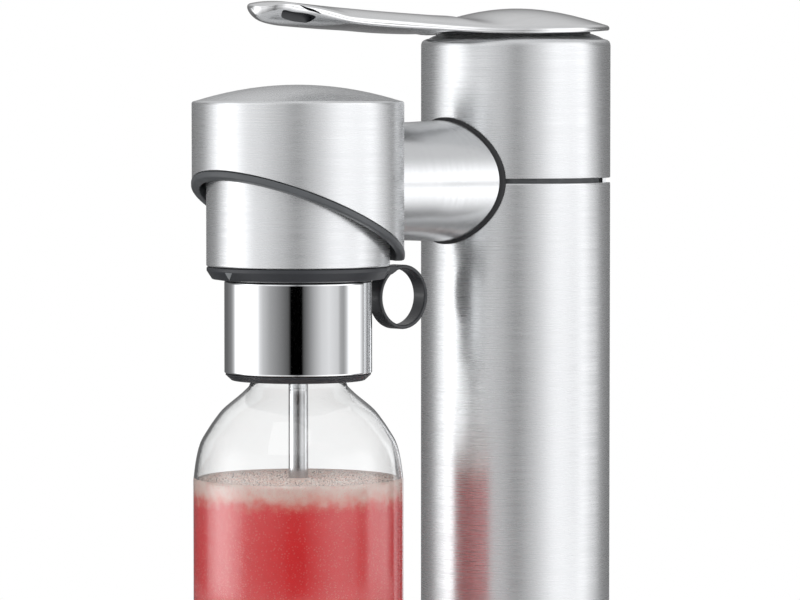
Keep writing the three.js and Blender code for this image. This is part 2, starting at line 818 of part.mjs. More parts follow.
// A closed skin through rings of points, all with as many points.
function skin(rings) {
  const size = rings[0].length;
  const positions = rings.flat(2);
  const indices = [];
  for (let k = 0; k < rings.length - 1; k += 1) {
    for (let i = 0; i < size; i += 1) {
      const j = (i + 1) % size;
      const [a, b, c, d] = [k * size + i, k * size + j, (k + 1) * size + i, (k + 1) * size + j];
      indices.push(a, c, b, b, c, d);
    }
  }
  const last = (rings.length - 1) * size;
  for (let i = 1; i < size - 1; i += 1) indices.push(0, i, i + 1, last, last + i + 1, last + i);
  const geometry = new THREE.BufferGeometry();
  geometry.setAttribute('position', new THREE.Float32BufferAttribute(positions, 3));
  geometry.setIndex(indices);
  return toGeometry(toManifold(geometry));
}

const leverPlaces = (end, inset) => {
  const radius = leverDiscRadius - inset;
  const discShares = [-0.995, -0.92, -0.78, -0.55, -0.28, 0, 0.28, 0.55, 0.78];
  const armShares = [0.25, 0.29, 0.33, 0.37, 0.44, 0.53, 0.63, 0.71, 0.765, 0.83, 0.885, 0.925,
    0.955, 0.98, 0.995];
  const places = [...discShares.map((share) => share * radius),
    ...armShares.map((share) => share * leverReach)];
  return [...places.filter((place) => place < end), end];
};

const crossShares = [-1, -0.8, -0.4, 0, 0.4, 0.8, 1];
const neckShare = 0.3; // where the disc has become the arm
const tipShare = 0.999;

function leverOutside() {
  const rings = leverPlaces(leverReach * tipShare, 0).map((place) => {
    const share = place / leverReach;
    const half = Math.max(leverHalfWidth(place, 0), fit);
    const low = leverLow + leverRise * along(bandLowShares, share);
    const high = leverLow + leverRise * along(bandHighShares, share);
    const crest = leverLow + leverRise * along(crestShares, share);
    const belly = share < bellyShares[0][0] ? low : leverLow + leverRise * along(bellyShares, share);
    const roundness = share < neckShare ? Math.min(half / leverDiscRadius, 1) : 1;
    const top = crossShares.map((across) => (
      [across * half, -place, high + (crest - high) * (1 - across ** 2) * roundness]));
    const bottom = crossShares.map((across) => (
      [-across * half, -place, low + (belly - low) * (1 - across ** 2)]));
    return [...top, ...bottom];
  });
  return skin(rings);
}

// The space under the disc, this far inside its outer face.
function leverHollow(inset) {
  const floor = leverLow - overrun;
  const rings = leverPlaces(leverHollowEnd, inset).map((place) => {
    const share = place / leverReach;
    const half = Math.max(leverHalfWidth(place, inset), fit);
    const high = leverLow + leverRise * along(bandHighShares, share);
    const crest = leverLow + leverRise * along(crestShares, share);
    const roundness = share < neckShare ? Math.min(half / leverDiscRadius, 1) : 1;
    const top = crossShares.map((across) => [across * half, -place,
      high - inset / 2 + (crest - high - inset / 2) * (1 - across ** 2) * roundness]);
    return [...top, [half, -place, floor], [-half, -place, floor]];
  });
  return skin(rings);
}

function leverHandle() {
  const crownShare = along(crestShares, 0);
  const ceiling = leverLow + leverRise * crownShare - leverWall / 2;
  const shell = cut(leverOutside(), leverHollow(leverWall));
  const boss = disc(strikerBossRadius, collarTop + bossGap, ceiling);
  const web = common(
    block(pivotLugHalf, pivotSetback - pivotLugRadius, pivotSetback + pivotLugRadius, pivotHeight, ceiling),
    join(leverHollow(leverWall / 2), disc(leverDiscRadius / 2, pivotHeight, leverLow, innerFacets)
      .translate(0, pivotSetback, 0)),
  );
  const lug = join(web, rodX(pivotLugRadius, -pivotLugHalf, pivotLugHalf, pivotSetback, pivotHeight));
  const pinHole = rodX(pivotPinRadius + fit, -pivotLugHalf - overrun, pivotLugHalf + overrun,
    pivotSetback, pivotHeight);
  const strikerHole = disc(strikerRadius + fit, leverLow, plungerTop + fit + strikerLength + fit);
  return cut(join(shell, boss, lug), pinHole, strikerHole, ...sideCuts(pocketShares, leverPocketCore),
    ...sideCuts(slitShares, leverSlitCore));
}

// Side view of the finger pocket and of the slit above it, as shares like those above.
const pocketShares = [[0.951, 0.677], [0.922, 0.63], [0.888, 0.598], [0.86, 0.559], [0.834, 0.48],
  [0.838, 0.346], [0.852, 0.283], [0.888, 0.315], [0.918, 0.37], [0.944, 0.472]];
const slitShares = [[0.901, 0.85], [0.875, 0.78], [0.848, 0.709], [0.821, 0.575], [0.848, 0.638],
  [0.875, 0.7]];

// Cuts for both sides, from this far off the middle outwards.
function sideCuts(shares, core) {
  const shape = new THREE.Shape(shares.map(([place, height]) => (
    new THREE.Vector2(place * leverReach, leverLow + leverRise * height))));
  const depth = leverArmHalf + overrun - core;
  const tool = new THREE.ExtrudeGeometry(shape, { depth, bevelEnabled: false });
  tool.rotateX(Math.PI / 2).rotateZ(-Math.PI / 2);
  return [tool.clone().translate(-core, 0, 0), tool.clone().translate(core + depth, 0, 0)];
}

// Arm

function armTube() {
  const [nearShare, farShare] = [0.25, 0.6];
  const start = -headReach;
  const end = -columnRadius + armRadius / 2;
  const span = end - start;
  const profile = [
    [armWaistRadius, start], [armWaistRadius, start + span * farShare],
    [(armWaistRadius + armRadius) / 2, end - span * nearShare], [armRadius, end - span * nearShare / 4],
    [armRadius, end],
    [armWaistRadius - armWall, end], [armWaistRadius - armWall, start],
  ];
  const tube = toY(turned(profile, showFacets)).translate(0, 0, armHeight);
  const low = armHeight - armRadius - overrun;
  const high = armHeight + armRadius + overrun;
  const headSide = atHead(disc(headRadius + fit, low, high, showFacets));
  const columnSide = disc(columnRadius + gasketThickness + 2 * fit, low, high, showFacets);
  return cut(tube, headSide, columnSide);
}

function armGasket() {
  const low = armHeight - gasketRadius - overrun;
  const high = armHeight + gasketRadius + overrun;
  const face = columnRadius + fit;
  const washer = common(
    rodY(gasketRadius, -columnRadius - armRadius, 0, 0, armHeight, showFacets),
    pipe(face + gasketThickness, face, low, high, showFacets),
  );
  const spigot = common(
    rodY(gasketSpigotRadius, -columnRadius - armRadius, 0, 0, armHeight, innerFacets),
    pipe(face + gasketThickness / 2, columnRadius - columnWall, low, high, showFacets),
  );
  const bore = rodY(armCoreRadius + fit, -columnRadius - armRadius - overrun, overrun, 0, armHeight, innerFacets);
  return cut(join(washer, spigot), bore);
}

// One casting: the core of the arm and the saddle inside the head.
function armFrame() {
  const low = armHeight - armCoreRadius - overrun;
  const high = armHeight + armCoreRadius + overrun;
  const core = cut(
    rodY(armCoreRadius, -headReach, 0, 0, armHeight, innerFacets),
    disc(chassisRadius + fit, low, high, showFacets),
    atHead(disc(cupRadius + fit + cupWall / 2, low, high, showFacets)),
  );
  const plateRadius = headRadius - headWall - fit;
  const plate = atHead(pipe(plateRadius, frameHoleRadius, frameLow, frameLow + framePlate, showFacets));
  const lugMiddle = lugInner + lugThickness / 2;
  const lug = block(lugThickness / 2, -headReach - lugHalfDepth, -headReach + lugHalfDepth,
    armHeight - lugHalfDepth, frameLow + framePlate / 2);
  const tools = [
    rodY(armBoreRadius, -headReach, 0, 0, armHeight, innerFacets),
    rodX(axleRadius + fit, -headRadius, headRadius, -headReach, armHeight, innerFacets),
  ];
  for (const [x, z] of armScrewPlaces()) {
    tools.push(rodY(screwRadius + fit, -armScrewSeat - armScrewLength - fit, 0, x, z));
  }
  const body = join(core, plate, lug.clone().translate(lugMiddle, 0, 0), lug.clone().translate(-lugMiddle, 0, 0));
  return cut(body, ...tools);
}

// Head

// Everything below the slanted edge, and below the level edge at the rear.
function belowEdge(drop) {
  const slope = Math.atan2(headSlant, headRadius);
  const size = 3 * headRadius;
  const slanted = new THREE.BoxGeometry(size, size, size).translate(0, 0, -size / 2);
  slanted.rotateX(-slope).translate(0, 0, headEdge - drop);
  const level = headSkirtLow - drop;
  const flat = new THREE.BoxGeometry(size, size, size).translate(0, 0, level - size / 2);
  return join(slanted, flat);
}

function domeHeight(radius) {
  const spread = headRadius - headCorner;
  return headTop - (headTop - headShoulder) * (radius / spread) ** 2;
}

function headShell() {
  const radii = [0.98, 0.75, 0.5, 0.25].map((share) => share * headRadius);
  const inner = headRadius - headWall;
  const low = headSkirtLow - overrun;
  const outerDome = radii.map((radius) => [radius, domeHeight(radius)]);
  const innerDome = radii.slice(1).map((radius) => [radius, domeHeight(radius) - headWall]).reverse();
  const profile = [
    [inner, low], [headRadius, low], [headRadius, headShoulder - headCorner],
    ...outerDome, [0, headTop], [0, headTop - headWall], ...innerDome,
    [inner, headShoulder - headWall - headCorner],
  ];
  const armHole = rodY(armCoreRadius + fit, 0, headRadius + overrun, 0, armHeight, innerFacets);
  return cut(turned([...profile, profile[0]], showFacets), belowEdge(0), armHole);
}

function headLiner() {
  const outer = headRadius - headWall - fit;
  const low = headSkirtLow - rimDrop - overrun;
  const wall = pipe(outer, linerInnerRadius, low, linerTop, showFacets);
  const lip = common(
    pipe(headRadius + rimProud, linerInnerRadius, low, linerTop, showFacets),
    belowEdge(fit),
  );
  const armHole = rodY(armCoreRadius + fit, 0, headRadius + overrun, 0, armHeight, innerFacets);
  return cut(join(wall, lip), belowEdge(rimDrop), armHole);
}

function tiltAxle() {
  const half = cupRadius - cupWall - 2 * fit;
  return join(
    rodX(axleRadius, -half, half, 0, armHeight, innerFacets),
    disc(nippleRadius, armHeight, armHeight + nippleRise, smallFacets).translate(nippleAside, 0, 0),
  );
}

// Carriage

function carriageCup() {
  const inner = cupRadius - cupWall;
  return turned([
    [cupHoleRadius, cupBottom], [cupRadius, cupBottom], [cupRadius, cupTop], [inner, cupTop],
    [inner, cupBottom + cupWall], [cupHoleRadius, cupBottom + cupWall],
  ], showFacets);
}

// The ring under the carriage frame that takes the spigot of the cap.
function socketRing() {
  const outer = cupRadius - cupWall - fit;
  const throat = cupHoleRadius - fit;
  const low = cupBottom + cupWall + fit;
  const top = cupBottom + socketDepth - fit;
  return turned([
    [socketRadius, cupBottom], [throat, cupBottom], [throat, low], [outer, low], [outer, top],
    [socketRadius, top],
  ], showFacets);
}

function carriageFrame() {
  const socketTop = cupBottom + socketDepth;
  const body = disc(cupRadius - cupWall - fit, socketTop, armHeight + cheekAboveAxis, showFacets);
  const high = armHeight + cheekAboveAxis + overrun;
  const room = block(cheekInner, -cupRadius, cupRadius, blockTop, high);
  const ahead = block(cupRadius, -cupRadius - overrun, -cheekHalfDepth, blockTop, high);
  const behind = block(cupRadius, cheekHalfDepth, cupRadius + overrun, blockTop, high);
  const tools = [
    room, ahead, behind,
    rodX(axleRadius + fit, -cupRadius, cupRadius, 0, armHeight, innerFacets),
    disc(sealBore, socketTop - overrun, socketTop + sealBoreDepth),
    disc(inletStemRadius + fit, socketTop, blockTop + overrun, smallFacets),
  ];
  return cut(body, ...tools);
}

function gasInlet() {
  const ring = rodX(inletRingRadius, -inletRingHalf, inletRingHalf, 0, armHeight, innerFacets);
  const stem = disc(inletStemRadius, plugTop + fit, inletStemTop + overrun, smallFacets);
  const bore = rodX(axleRadius + fit, -headRadius, headRadius, 0, armHeight, innerFacets);
  return cut(join(ring, stem), bore, disc(inletStemRadius / 2, plugTop, armHeight, smallFacets));
}

function socketSeal() {
  const low = spigotTop + fit;
  return pipe(sealBore - fit, plugSpigotRadius + fit, low, low + socketSealHeight);
}

// Cap

function capCollar() {
  const bevelLow = flangeTop - capFlangeStraight - capFlangeBevel;
  const ring = turned([
    [capFlangeBore, flangeBottom], [sleeveRadius + fit, flangeBottom], [capFlangeFootRadius, bevelLow],
    [capFlangeRadius, flangeTop - capFlangeStraight], [capFlangeRadius, flangeTop],
    [capFlangeBore, flangeTop],
  ], showFacets);
  const slot = block(ringHalfWidth + fit, capFlangeBore - overrun, capFlangeRadius + overrun,
    flangeBottom - overrun, flangeTop + overrun);
  const pinHole = rodX(releasePinRadius + fit, -releasePinHalf - fit, releasePinHalf + fit,
    releasePivotSetback, releasePivotHeight);
  return cut(ring, slot, pinHole);
}

function capCore() {
  const body = turned([
    [0, capRoofLow - overrun], [neckBore, capRoofLow - overrun], [neckBore, sleeveBottom],
    [coreRadius, sleeveBottom], [coreRadius, sleeveTop], [spigotRadius, sleeveTop],
    [spigotRadius, spigotTop], [plugSpigotRadius, spigotTop], [plugSpigotRadius, plugTop], [0, plugTop],
  ], showFacets);
  const roofRoom = disc(neckBore, sleeveBottom, capRoofLow);
  const armRoom = block(ringHalfWidth + fit, ventSetback - ventFlangeRadius - fit, coreRadius,
    sleeveTop + fit, flangeTop + overrun);
  const ventWell = disc(ventFlangeRadius + fit, releasePivotHeight, spigotTop - ventRoof)
    .translate(0, ventSetback, 0);
  const ventHole = disc(ventStemRadius + fit, capRoofLow - overrun, spigotTop, smallFacets)
    .translate(0, ventSetback, 0);
  const nozzleHole = disc(nozzleRadius + fit, capRoofLow - overrun, plugTop + overrun);
  return cut(body, roofRoom, armRoom, ventWell, ventHole, nozzleHole);
}

function nozzleTube() {
  return pipe(nozzleRadius, nozzleBoreRadius, nozzleEnd, plugTop - fit, innerFacets);
}

function nozzleTip() {
  const shank = nozzleBoreRadius - fit;
  const low = nozzleEnd - fit - tipLength;
  return turned([
    [tipBoreRadius, low], [tipRadius, low], [tipRadius, nozzleEnd - fit], [shank, nozzleEnd - fit],
    [shank, nozzleEnd + tipLength], [tipBoreRadius, nozzleEnd + tipLength],
  ], smallFacets);
}

function capBaseRing() {
  return turned([
    [neckBore, baseRingBottom], [baseRingFootRadius, baseRingBottom],
    [sleeveRadius, baseRingBottom + baseRingHeight], [neckBore, baseRingBottom + baseRingHeight],
  ], showFacets);
}

// Release lever: a finger ring behind the cap, an arm to its pivot and a fork under the vent.
function releaseRing() {
  const ring = toX(pipe(ringRadius, ringHoleRadius, -ringHalfWidth, ringHalfWidth, showFacets))
    .translate(0, ringSetback, ringHeight);
  const low = releasePivotHeight - releaseArmHalf;
  const high = releasePivotHeight + releaseArmHalf;
  const armStart = ventSetback - ventStemRadius - 2 * fit;
  const arm = block(ringHalfWidth, armStart, ringSetback - ringHoleRadius / 3, low, high);
  const fork = block(ventStemRadius + 2 * fit, armStart - overrun, ventSetback + ventFlangeRadius, low - overrun,
    high + overrun);
  const hole = toX(disc(ringHoleRadius, -ringRadius, ringRadius, showFacets))
    .translate(0, ringSetback, ringHeight);
  const pinHole = rodX(releasePinRadius + fit, -ringRadius, ringRadius, releasePivotSetback, releasePivotHeight);
  return cut(join(ring, arm), fork, hole, pinHole);
}

function ventStem() {
  const seat = releasePivotHeight + releaseArmHalf + fit;
  return turned([
    [0, capRoofLow], [ventStemRadius, capRoofLow], [ventStemRadius, seat], [ventFlangeRadius, seat],
    [ventFlangeRadius, seat + ventFlange], [0, seat + ventFlange],
  ], smallFacets).translate(0, ventSetback, 0);
}

function ventSpring() {
  const low = releasePivotHeight + releaseArmHalf + ventFlange + 2 * fit;
  const spring = coil(ventSpringRadius, ventSpringWire, ventSpringTurns, low, spigotTop - ventRoof - fit / 2,
    'vent_spring');
  return spring.translate(0, ventSetback, 0);
}

// Bottle

// Shares of the shoulder's height, from the top, and of its spread from the neck outwards.
const shoulderShares = [[0, 0], [0.08, 0.14], [0.24, 0.46], [0.35, 0.61], [0.46, 0.735], [0.6, 0.87],
  [0.78, 0.95], [1, 1]];

function shoulderPoints(inset) {
  const spread = bottleRadius - shoulderTopRadius;
  const height = shoulderTop - shoulderBottom;
  return shoulderShares.map(([down, out]) => (
    [shoulderTopRadius + spread * out - inset, shoulderTop - height * down - inset / 2]));
}

function threadPoints() {
  const points = [];
  for (let k = 0; k < threadCount; k += 1) {
    const top = neckTop - threadFirst - k * threadPitch;
    points.push([neckRadius, top + threadProud], [neckRadius + threadProud, top],
      [neckRadius + threadProud, top - threadWidth], [neckRadius, top - threadWidth - threadProud]);
  }
  return points;
}

function bottle() {
  const bore = neckRadius - bottleWall;
  const lowRadius = bottleRadius - bottleBaseWall - fit;
  const stepTop = bottleBottom + bottleBaseHeight + fit;
  const low = bottleBottom + bottleWall + fit;
  const neckFoot = shoulderTop + 2 * bottleWall;
  const profile = [
    [0, low], [lowRadius - bottleCorner, low], [lowRadius, low + bottleCorner], [lowRadius, stepTop],
    [bottleRadius, stepTop], ...shoulderPoints(0).reverse(), [neckRadius, neckFoot],
    ...threadPoints().reverse(), [neckRadius, neckTop], [bore, neckTop], [bore, neckFoot],
    ...shoulderPoints(bottleWall).filter((point, k) => k % 2 === 1),
    [bottleRadius - bottleWall, stepTop + bottleWall], [lowRadius - bottleWall, stepTop - bottleWall],
    [lowRadius - bottleWall, low + bottleCorner + bottleWall / 2],
    [lowRadius - bottleCorner - bottleWall / 2, low + bottleWall], [0, low + bottleWall],
  ];
  return turned(profile, showFacets);
}

function bottleBase() {
  const inner = bottleRadius - bottleBaseWall;
  const top = bottleBottom + bottleBaseHeight;
  const corner = bottleCorner - bottleWall;
  return turned([
    [0, bottleBottom], [bottleRadius - corner, bottleBottom], [bottleRadius, bottleBottom + corner],
    [bottleRadius, top], [inner, top], [inner, bottleBottom + corner + bottleWall / 2],
    [inner - corner - bottleWall / 2, bottleBottom + bottleWall], [0, bottleBottom + bottleWall],
  ], showFacets);
}

function drink() {
  const inset = bottleWall + fit;
  const lowRadius = bottleRadius - bottleBaseWall - fit - inset;
  const low = bottleBottom + 2 * (bottleWall + fit);
  const stepTop = bottleBottom + bottleBaseHeight + fit;
  const side = bottleRadius - inset;
  const topShare = (shoulderTop - drinkTop) / (shoulderTop - shoulderBottom);
  const reach = shoulderTopRadius + (bottleRadius - shoulderTopRadius) * along(shoulderShares, topShare);
  const well = nozzleRadius + fit;
  const wellEnd = nozzleEnd - tipLength - 2 * fit;
  return turned([
    [0, low], [lowRadius - bottleCorner, low], [lowRadius, low + bottleCorner],
    [lowRadius, stepTop - bottleWall], [side, stepTop + bottleWall], [side, shoulderBottom - bottleWall],
    [reach - inset - fit, drinkTop], [well, drinkTop], [well, wellEnd], [0, wellEnd],
  ], showFacets);
}

// Finishes

function finish(color, roughness, metalness) {
  return new THREE.MeshStandardMaterial({ color, roughness, metalness });
}

const finishes = {
  brushedSteel: finish(0xbfc1c3, 0.35, 1),
  polishedSteel: finish(0xd9dbdc, 0.15, 1),
  chrome: finish(0xe4e6e8, 0.06, 1),
  blackPlastic: finish(0x2b2d30, 0.5, 0),
  greyPlastic: finish(0x4a4d50, 0.5, 0),
  rubber: finish(0x1c1c1d, 0.8, 0),
  castAluminium: finish(0x9fa3a6, 0.5, 1),
  cylinderPaint: finish(0xc9ccd0, 0.35, 0.4),
  brass: finish(0xb08d4f, 0.3, 1),
  springSteel: finish(0x8f9296, 0.3, 1),
  clearPlastic: finish(0xeef3f4, 0.05, 0),
  redDrink: finish(0xd6473f, 0.2, 0),
};
finishes.clearPlastic.transparent = true;
finishes.clearPlastic.opacity = 0.25;

// Assembly

function add(group, name, geometry, material) {
  const mesh = new THREE.Mesh(geometry, material);
  mesh.name = name;
  group.add(mesh);
  return mesh;
}

function buildBase() {
  const group = new THREE.Group();
  add(group, 'base_cover', baseCover(), finishes.brushedSteel);
  add(group, 'base_plate', basePlate(), finishes.castAluminium);
  baseScrewPlaces().forEach(([x, y], k) => {
    add(group, `base_screw_${k + 1}`, screw(baseScrewLength), finishes.springSteel).position.set(x, y, footHeight);
  });
  for (const [name, [x, y]] of Object.entries(footPlaces())) {
    add(group, name, foot(), finishes.rubber).position.set(x, y, 0);
  }
  const tray = new THREE.Group();
  tray.position.y = -headReach;
  add(tray, 'drip_tray', dripTray(), finishes.blackPlastic);
  add(tray, 'drip_grille', dripGrille(), finishes.brushedSteel);
  group.add(tray);
  return group;
}

function buildColumn() {
  const group = new THREE.Group();
  add(group, 'column_chassis', chassis(), finishes.greyPlastic);
  add(group, 'column_lower_shell', lowerShell(), finishes.brushedSteel);
  add(group, 'column_upper_shell', upperShell(), finishes.brushedSteel);
  add(group, 'rear_cover', rearCover(), finishes.brushedSteel);
  deckScrewPlaces().forEach(([x, y], k) => {
    const mesh = add(group, `deck_screw_${k + 1}`, screw(deckScrewLength), finishes.springSteel);
    mesh.position.set(x, y, deckTop + fit + screwHead);
    mesh.rotation.x = Math.PI;
  });
  add(group, 'co2_cylinder', gasCylinder(), finishes.cylinderPaint);
  add(group, 'cylinder_valve', cylinderValve(), finishes.brass);
  add(group, 'valve_body', valveBody(), finishes.brass);
  add(group, 'valve_seal', pipe(cylinderThreadRadius, sealBoreRadius, cylinderTop + fit,
    cylinderTop + fit + sealThickness), finishes.rubber);
  add(group, 'relief_plug', reliefPlug(), finishes.springSteel);
  add(group, 'gas_hose', gasHose(), finishes.rubber);
  return group;
}

function buildLever() {
  const group = new THREE.Group();
  add(group, 'lever_collar', leverCollar(), finishes.blackPlastic);
  add(group, 'lever_pin', rodX(pivotPinRadius, -pivotPinHalf, pivotPinHalf, pivotSetback, pivotHeight),
    finishes.springSteel);
  add(group, 'lever_handle', leverHandle(), finishes.polishedSteel);
  add(group, 'lever_striker', disc(strikerRadius, plungerTop + fit, plungerTop + fit + strikerLength),
    finishes.blackPlastic);
  add(group, 'plunger', plunger(), finishes.springSteel);
  add(group, 'return_spring', coil(springRadius, springWireRadius, springTurns, valveTop + fit,
    plungerTop - plungerHead - fit, 'return_spring'), finishes.springSteel);
  return group;
}

function buildArm() {
  const group = new THREE.Group();
  add(group, 'arm_tube', armTube(), finishes.brushedSteel);
  add(group, 'arm_gasket', armGasket(), finishes.rubber);
  add(group, 'arm_frame', armFrame(), finishes.castAluminium);
  armScrewPlaces().forEach(([x, z], k) => {
    const mesh = add(group, `arm_screw_${k + 1}`, screw(armScrewLength), finishes.springSteel);
    mesh.position.set(x, screwHead - armScrewSeat, z);
    mesh.rotation.x = Math.PI / 2;
  });
  return group;
}

function buildHead() {
  const group = new THREE.Group();
  group.position.y = -headReach;
  add(group, 'head_shell', headShell(), finishes.brushedSteel);
  add(group, 'head_liner', headLiner(), finishes.greyPlastic);
  add(group, 'tilt_axle', tiltAxle(), finishes.brass);
  add(group, 'carriage_cup', carriageCup(), finishes.brushedSteel);
  add(group, 'carriage_frame', carriageFrame(), finishes.greyPlastic);
  add(group, 'socket_ring', socketRing(), finishes.greyPlastic);
  add(group, 'gas_inlet', gasInlet(), finishes.brass);
  add(group, 'socket_seal', socketSeal(), finishes.rubber);
  return group;
}

function buildCap() {
  const group = new THREE.Group();
  group.position.y = -headReach;
  add(group, 'cap_collar', capCollar(), finishes.blackPlastic);
  add(group, 'cap_sleeve', pipe(sleeveRadius, sleeveRadius - sleeveWall, sleeveBottom, sleeveTop, showFacets),
    finishes.chrome);
  add(group, 'cap_base_ring', capBaseRing(), finishes.blackPlastic);
  add(group, 'cap_core', capCore(), finishes.greyPlastic);
  add(group, 'cap_gasket', pipe(neckRadius, gasketRingInner, gasketRingBottom, gasketRingBottom + gasketRingHeight),
    finishes.rubber);
  add(group, 'nozzle_tube', nozzleTube(), finishes.polishedSteel);
  add(group, 'nozzle_tip', nozzleTip(), finishes.blackPlastic);
  add(group, 'release_ring', releaseRing(), finishes.blackPlastic);
  add(group, 'release_pin', rodX(releasePinRadius, -releasePinHalf, releasePinHalf, releasePivotSetback,
    releasePivotHeight), finishes.springSteel);
  add(group, 'vent_stem', ventStem(), finishes.springSteel);
  add(group, 'vent_spring', ventSpring(), finishes.springSteel);
  return group;
}

function buildBottle() {
  const group = new THREE.Group();
  group.position.y = -headReach;
  add(group, 'bottle', bottle(), finishes.clearPlastic);
  add(group, 'bottle_base', bottleBase(), finishes.brushedSteel);
  add(group, 'drink', drink(), finishes.redDrink);
  return group;
}

const machine = new THREE.Group();
machine.add(buildBase(), buildColumn(), buildLever(), buildArm(), buildHead(), buildCap(), buildBottle());
machine.position.y = headReach / 2; // the middle of the base is over the origin

export default machine;
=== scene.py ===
import math
import bmesh
import bpy
from mathutils import Matrix, Vector


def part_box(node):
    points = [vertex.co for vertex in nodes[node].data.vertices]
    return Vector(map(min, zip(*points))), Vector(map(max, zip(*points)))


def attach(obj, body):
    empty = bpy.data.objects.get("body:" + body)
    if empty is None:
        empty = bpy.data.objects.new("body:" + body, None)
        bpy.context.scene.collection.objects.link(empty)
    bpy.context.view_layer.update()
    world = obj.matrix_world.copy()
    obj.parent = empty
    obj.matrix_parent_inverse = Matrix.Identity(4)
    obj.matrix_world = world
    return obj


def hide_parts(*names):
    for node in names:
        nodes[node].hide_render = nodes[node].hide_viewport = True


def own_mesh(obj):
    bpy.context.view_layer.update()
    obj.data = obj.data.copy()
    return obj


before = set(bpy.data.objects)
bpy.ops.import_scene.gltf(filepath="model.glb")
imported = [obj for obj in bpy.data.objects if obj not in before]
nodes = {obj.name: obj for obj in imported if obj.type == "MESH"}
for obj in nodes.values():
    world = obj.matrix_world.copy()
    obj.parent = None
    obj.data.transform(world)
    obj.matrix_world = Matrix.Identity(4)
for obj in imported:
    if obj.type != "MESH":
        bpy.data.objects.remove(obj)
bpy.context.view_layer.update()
print("frame loaded:", len(nodes), "nodes")

# Sizes are millimetres and are turned to metres when a piece is settled.
mm = 0.001
degree = math.pi / 180
machine = {"headReach": 125.7, "armHeight": 349.3, "columnRadius": 41.5, "headRadius": 44.5, "bottleRadius": 44.1}
columnY = machine["headReach"] / 2
headY = -columnY
armHeight = machine["armHeight"]


# Nodes of materials, of the world and of the Geometry Nodes trees

mixColours = {"share": 0, "first": 6, "second": 7, "result": 2}  # a Mix node's sockets when it mixes colours
mixNumbers = {"share": 0, "first": 2, "second": 3, "result": 0}


def addNode(tree, kind, values=None, **more):
    # A key is an input's number or name or one of the node's own settings. An output given as a value is linked.
    made = tree.nodes.new(kind)
    for key, value in {**(values or {}), **more}.items():
        name = key.replace("_", " ") if isinstance(key, str) else key
        if isinstance(name, str) and name not in made.inputs:
            setattr(made, key, value)
        elif isinstance(value, bpy.types.NodeSocket):
            tree.links.new(value, made.inputs[name])
        else:
            made.inputs[name].default_value = value
    return made


def maths(tree, operation, *values, clamp=False):
    made = addNode(tree, "ShaderNodeMath", {"operation": operation, "use_clamp": clamp, **dict(enumerate(values))})
    return made.outputs[0]


def ranged(tree, value, fromLow, fromHigh, low=0.0, high=1.0, easing="LINEAR"):
    return addNode(tree, "ShaderNodeMapRange", {
        "interpolation_type": easing, "Value": value, "From Min": fromLow, "From Max": fromHigh,
        "To Min": low, "To Max": high}).outputs["Result"]


def mixed(tree, share, first, second, blend="MIX"):
    m = mixColours
    made = addNode(tree, "ShaderNodeMix", {"data_type": "RGBA", "blend_type": blend,
                                           m["share"]: share, m["first"]: first, m["second"]: second})
    return made.outputs[m["result"]]


def ramp(tree, value, stops):
    made = addNode(tree, "ShaderNodeValToRGB", Fac=value)
    elements = made.color_ramp.elements
    while len(elements) > 1:
        elements.remove(elements[-1])
    for k, (share, colour) in enumerate(stops):
        element = elements[0] if k == 0 else elements.new(share)
        element.position = share
        element.color = (*colour, 1)
    return made.outputs["Color"]


def seenDirectly(tree):
    # 1 for rays straight from the camera or through glass.
    rays = addNode(tree, "ShaderNodeLightPath").outputs
    return maths(tree, "MAXIMUM", rays["Is Camera Ray"], rays["Is Transmission Ray"])


class Finish:
    # One material, with the textures that vary its colour, gloss and relief.
    def __init__(self, name, colour, roughness, metallic=0.0, **sockets):
        self.material = bpy.data.materials.new(name)
        self.material.use_nodes = True
        self.tree = self.material.node_tree
        self.shader = self.tree.nodes["Principled BSDF"]
        values = {"Base Color": (*colour, 1), "Roughness": roughness, "Metallic": metallic, **sockets}
        for socket, value in values.items():
            self.shader.inputs[socket.replace("_", " ")].default_value = value
        self.place = self.add("TexCoord").outputs["Object"]

    def add(self, kind, values=None, **more):
        return addNode(self.tree, "ShaderNode" + kind, values, **more)

    def mapped(self, scale):
        # The scale is one number, or one for each axis.
        each = (scale,) * 3 if isinstance(scale, (int, float)) else scale
        return self.add("Mapping", Vector=self.place, Scale=each).outputs["Vector"]

    def noise(self, scale, detail=3.0):
        return self.add("TexNoise", Vector=self.mapped(scale), Scale=1.0, Detail=detail).outputs["Fac"]

    def cells(self, scale):
        return self.add("TexVoronoi", Vector=self.mapped(scale), Scale=1.0).outputs["Distance"]

    def spread(self, value, low, high, fromLow=0.3, fromHigh=0.7):
        return ranged(self.tree, value, fromLow, fromHigh, low, high)

    def sum(self, first, second, share):
        m = mixNumbers
        made = self.add("Mix", {m["share"]: share, m["first"]: first, m["second"]: second})
        return made.outputs[m["result"]]

    def tint(self, value, dark, light, low=0.3, high=0.7):
        return ramp(self.tree, value, [(low, dark), (high, light)])

    def use(self, socket, output):
        self.tree.links.new(output, self.shader.inputs[socket])

    def varyColour(self, value, colour, shares):
        self.use("Base Color", self.tint(value, *([min(channel * share, 1) for channel in colour] for share in shares)))

    def varyGloss(self, value, roughness, shares, *reach):
        self.use("Roughness", self.spread(value, *(roughness * share for share in shares), *reach))

    def bump(self, value, depth, strength):
        made = self.add("Bump", Strength=strength, Distance=depth * mm, Height=value)
        self.use("Normal", made.outputs["Normal"])


def raw(bm, name="raw"):
    mesh = bpy.data.meshes.new(name)
    bm.to_mesh(mesh)
    bm.free()
    piece = bpy.data.objects.new(name, mesh)
    bpy.context.scene.collection.objects.link(piece)
    return piece


# Camera, world, floor and lamp

view = {"location": (1.3334, -1.2060, 0.382), "heading": (-0.743, 0.669), "dip": 2.664, "lens": 188.6,
        "clip": (0.05, 50)}


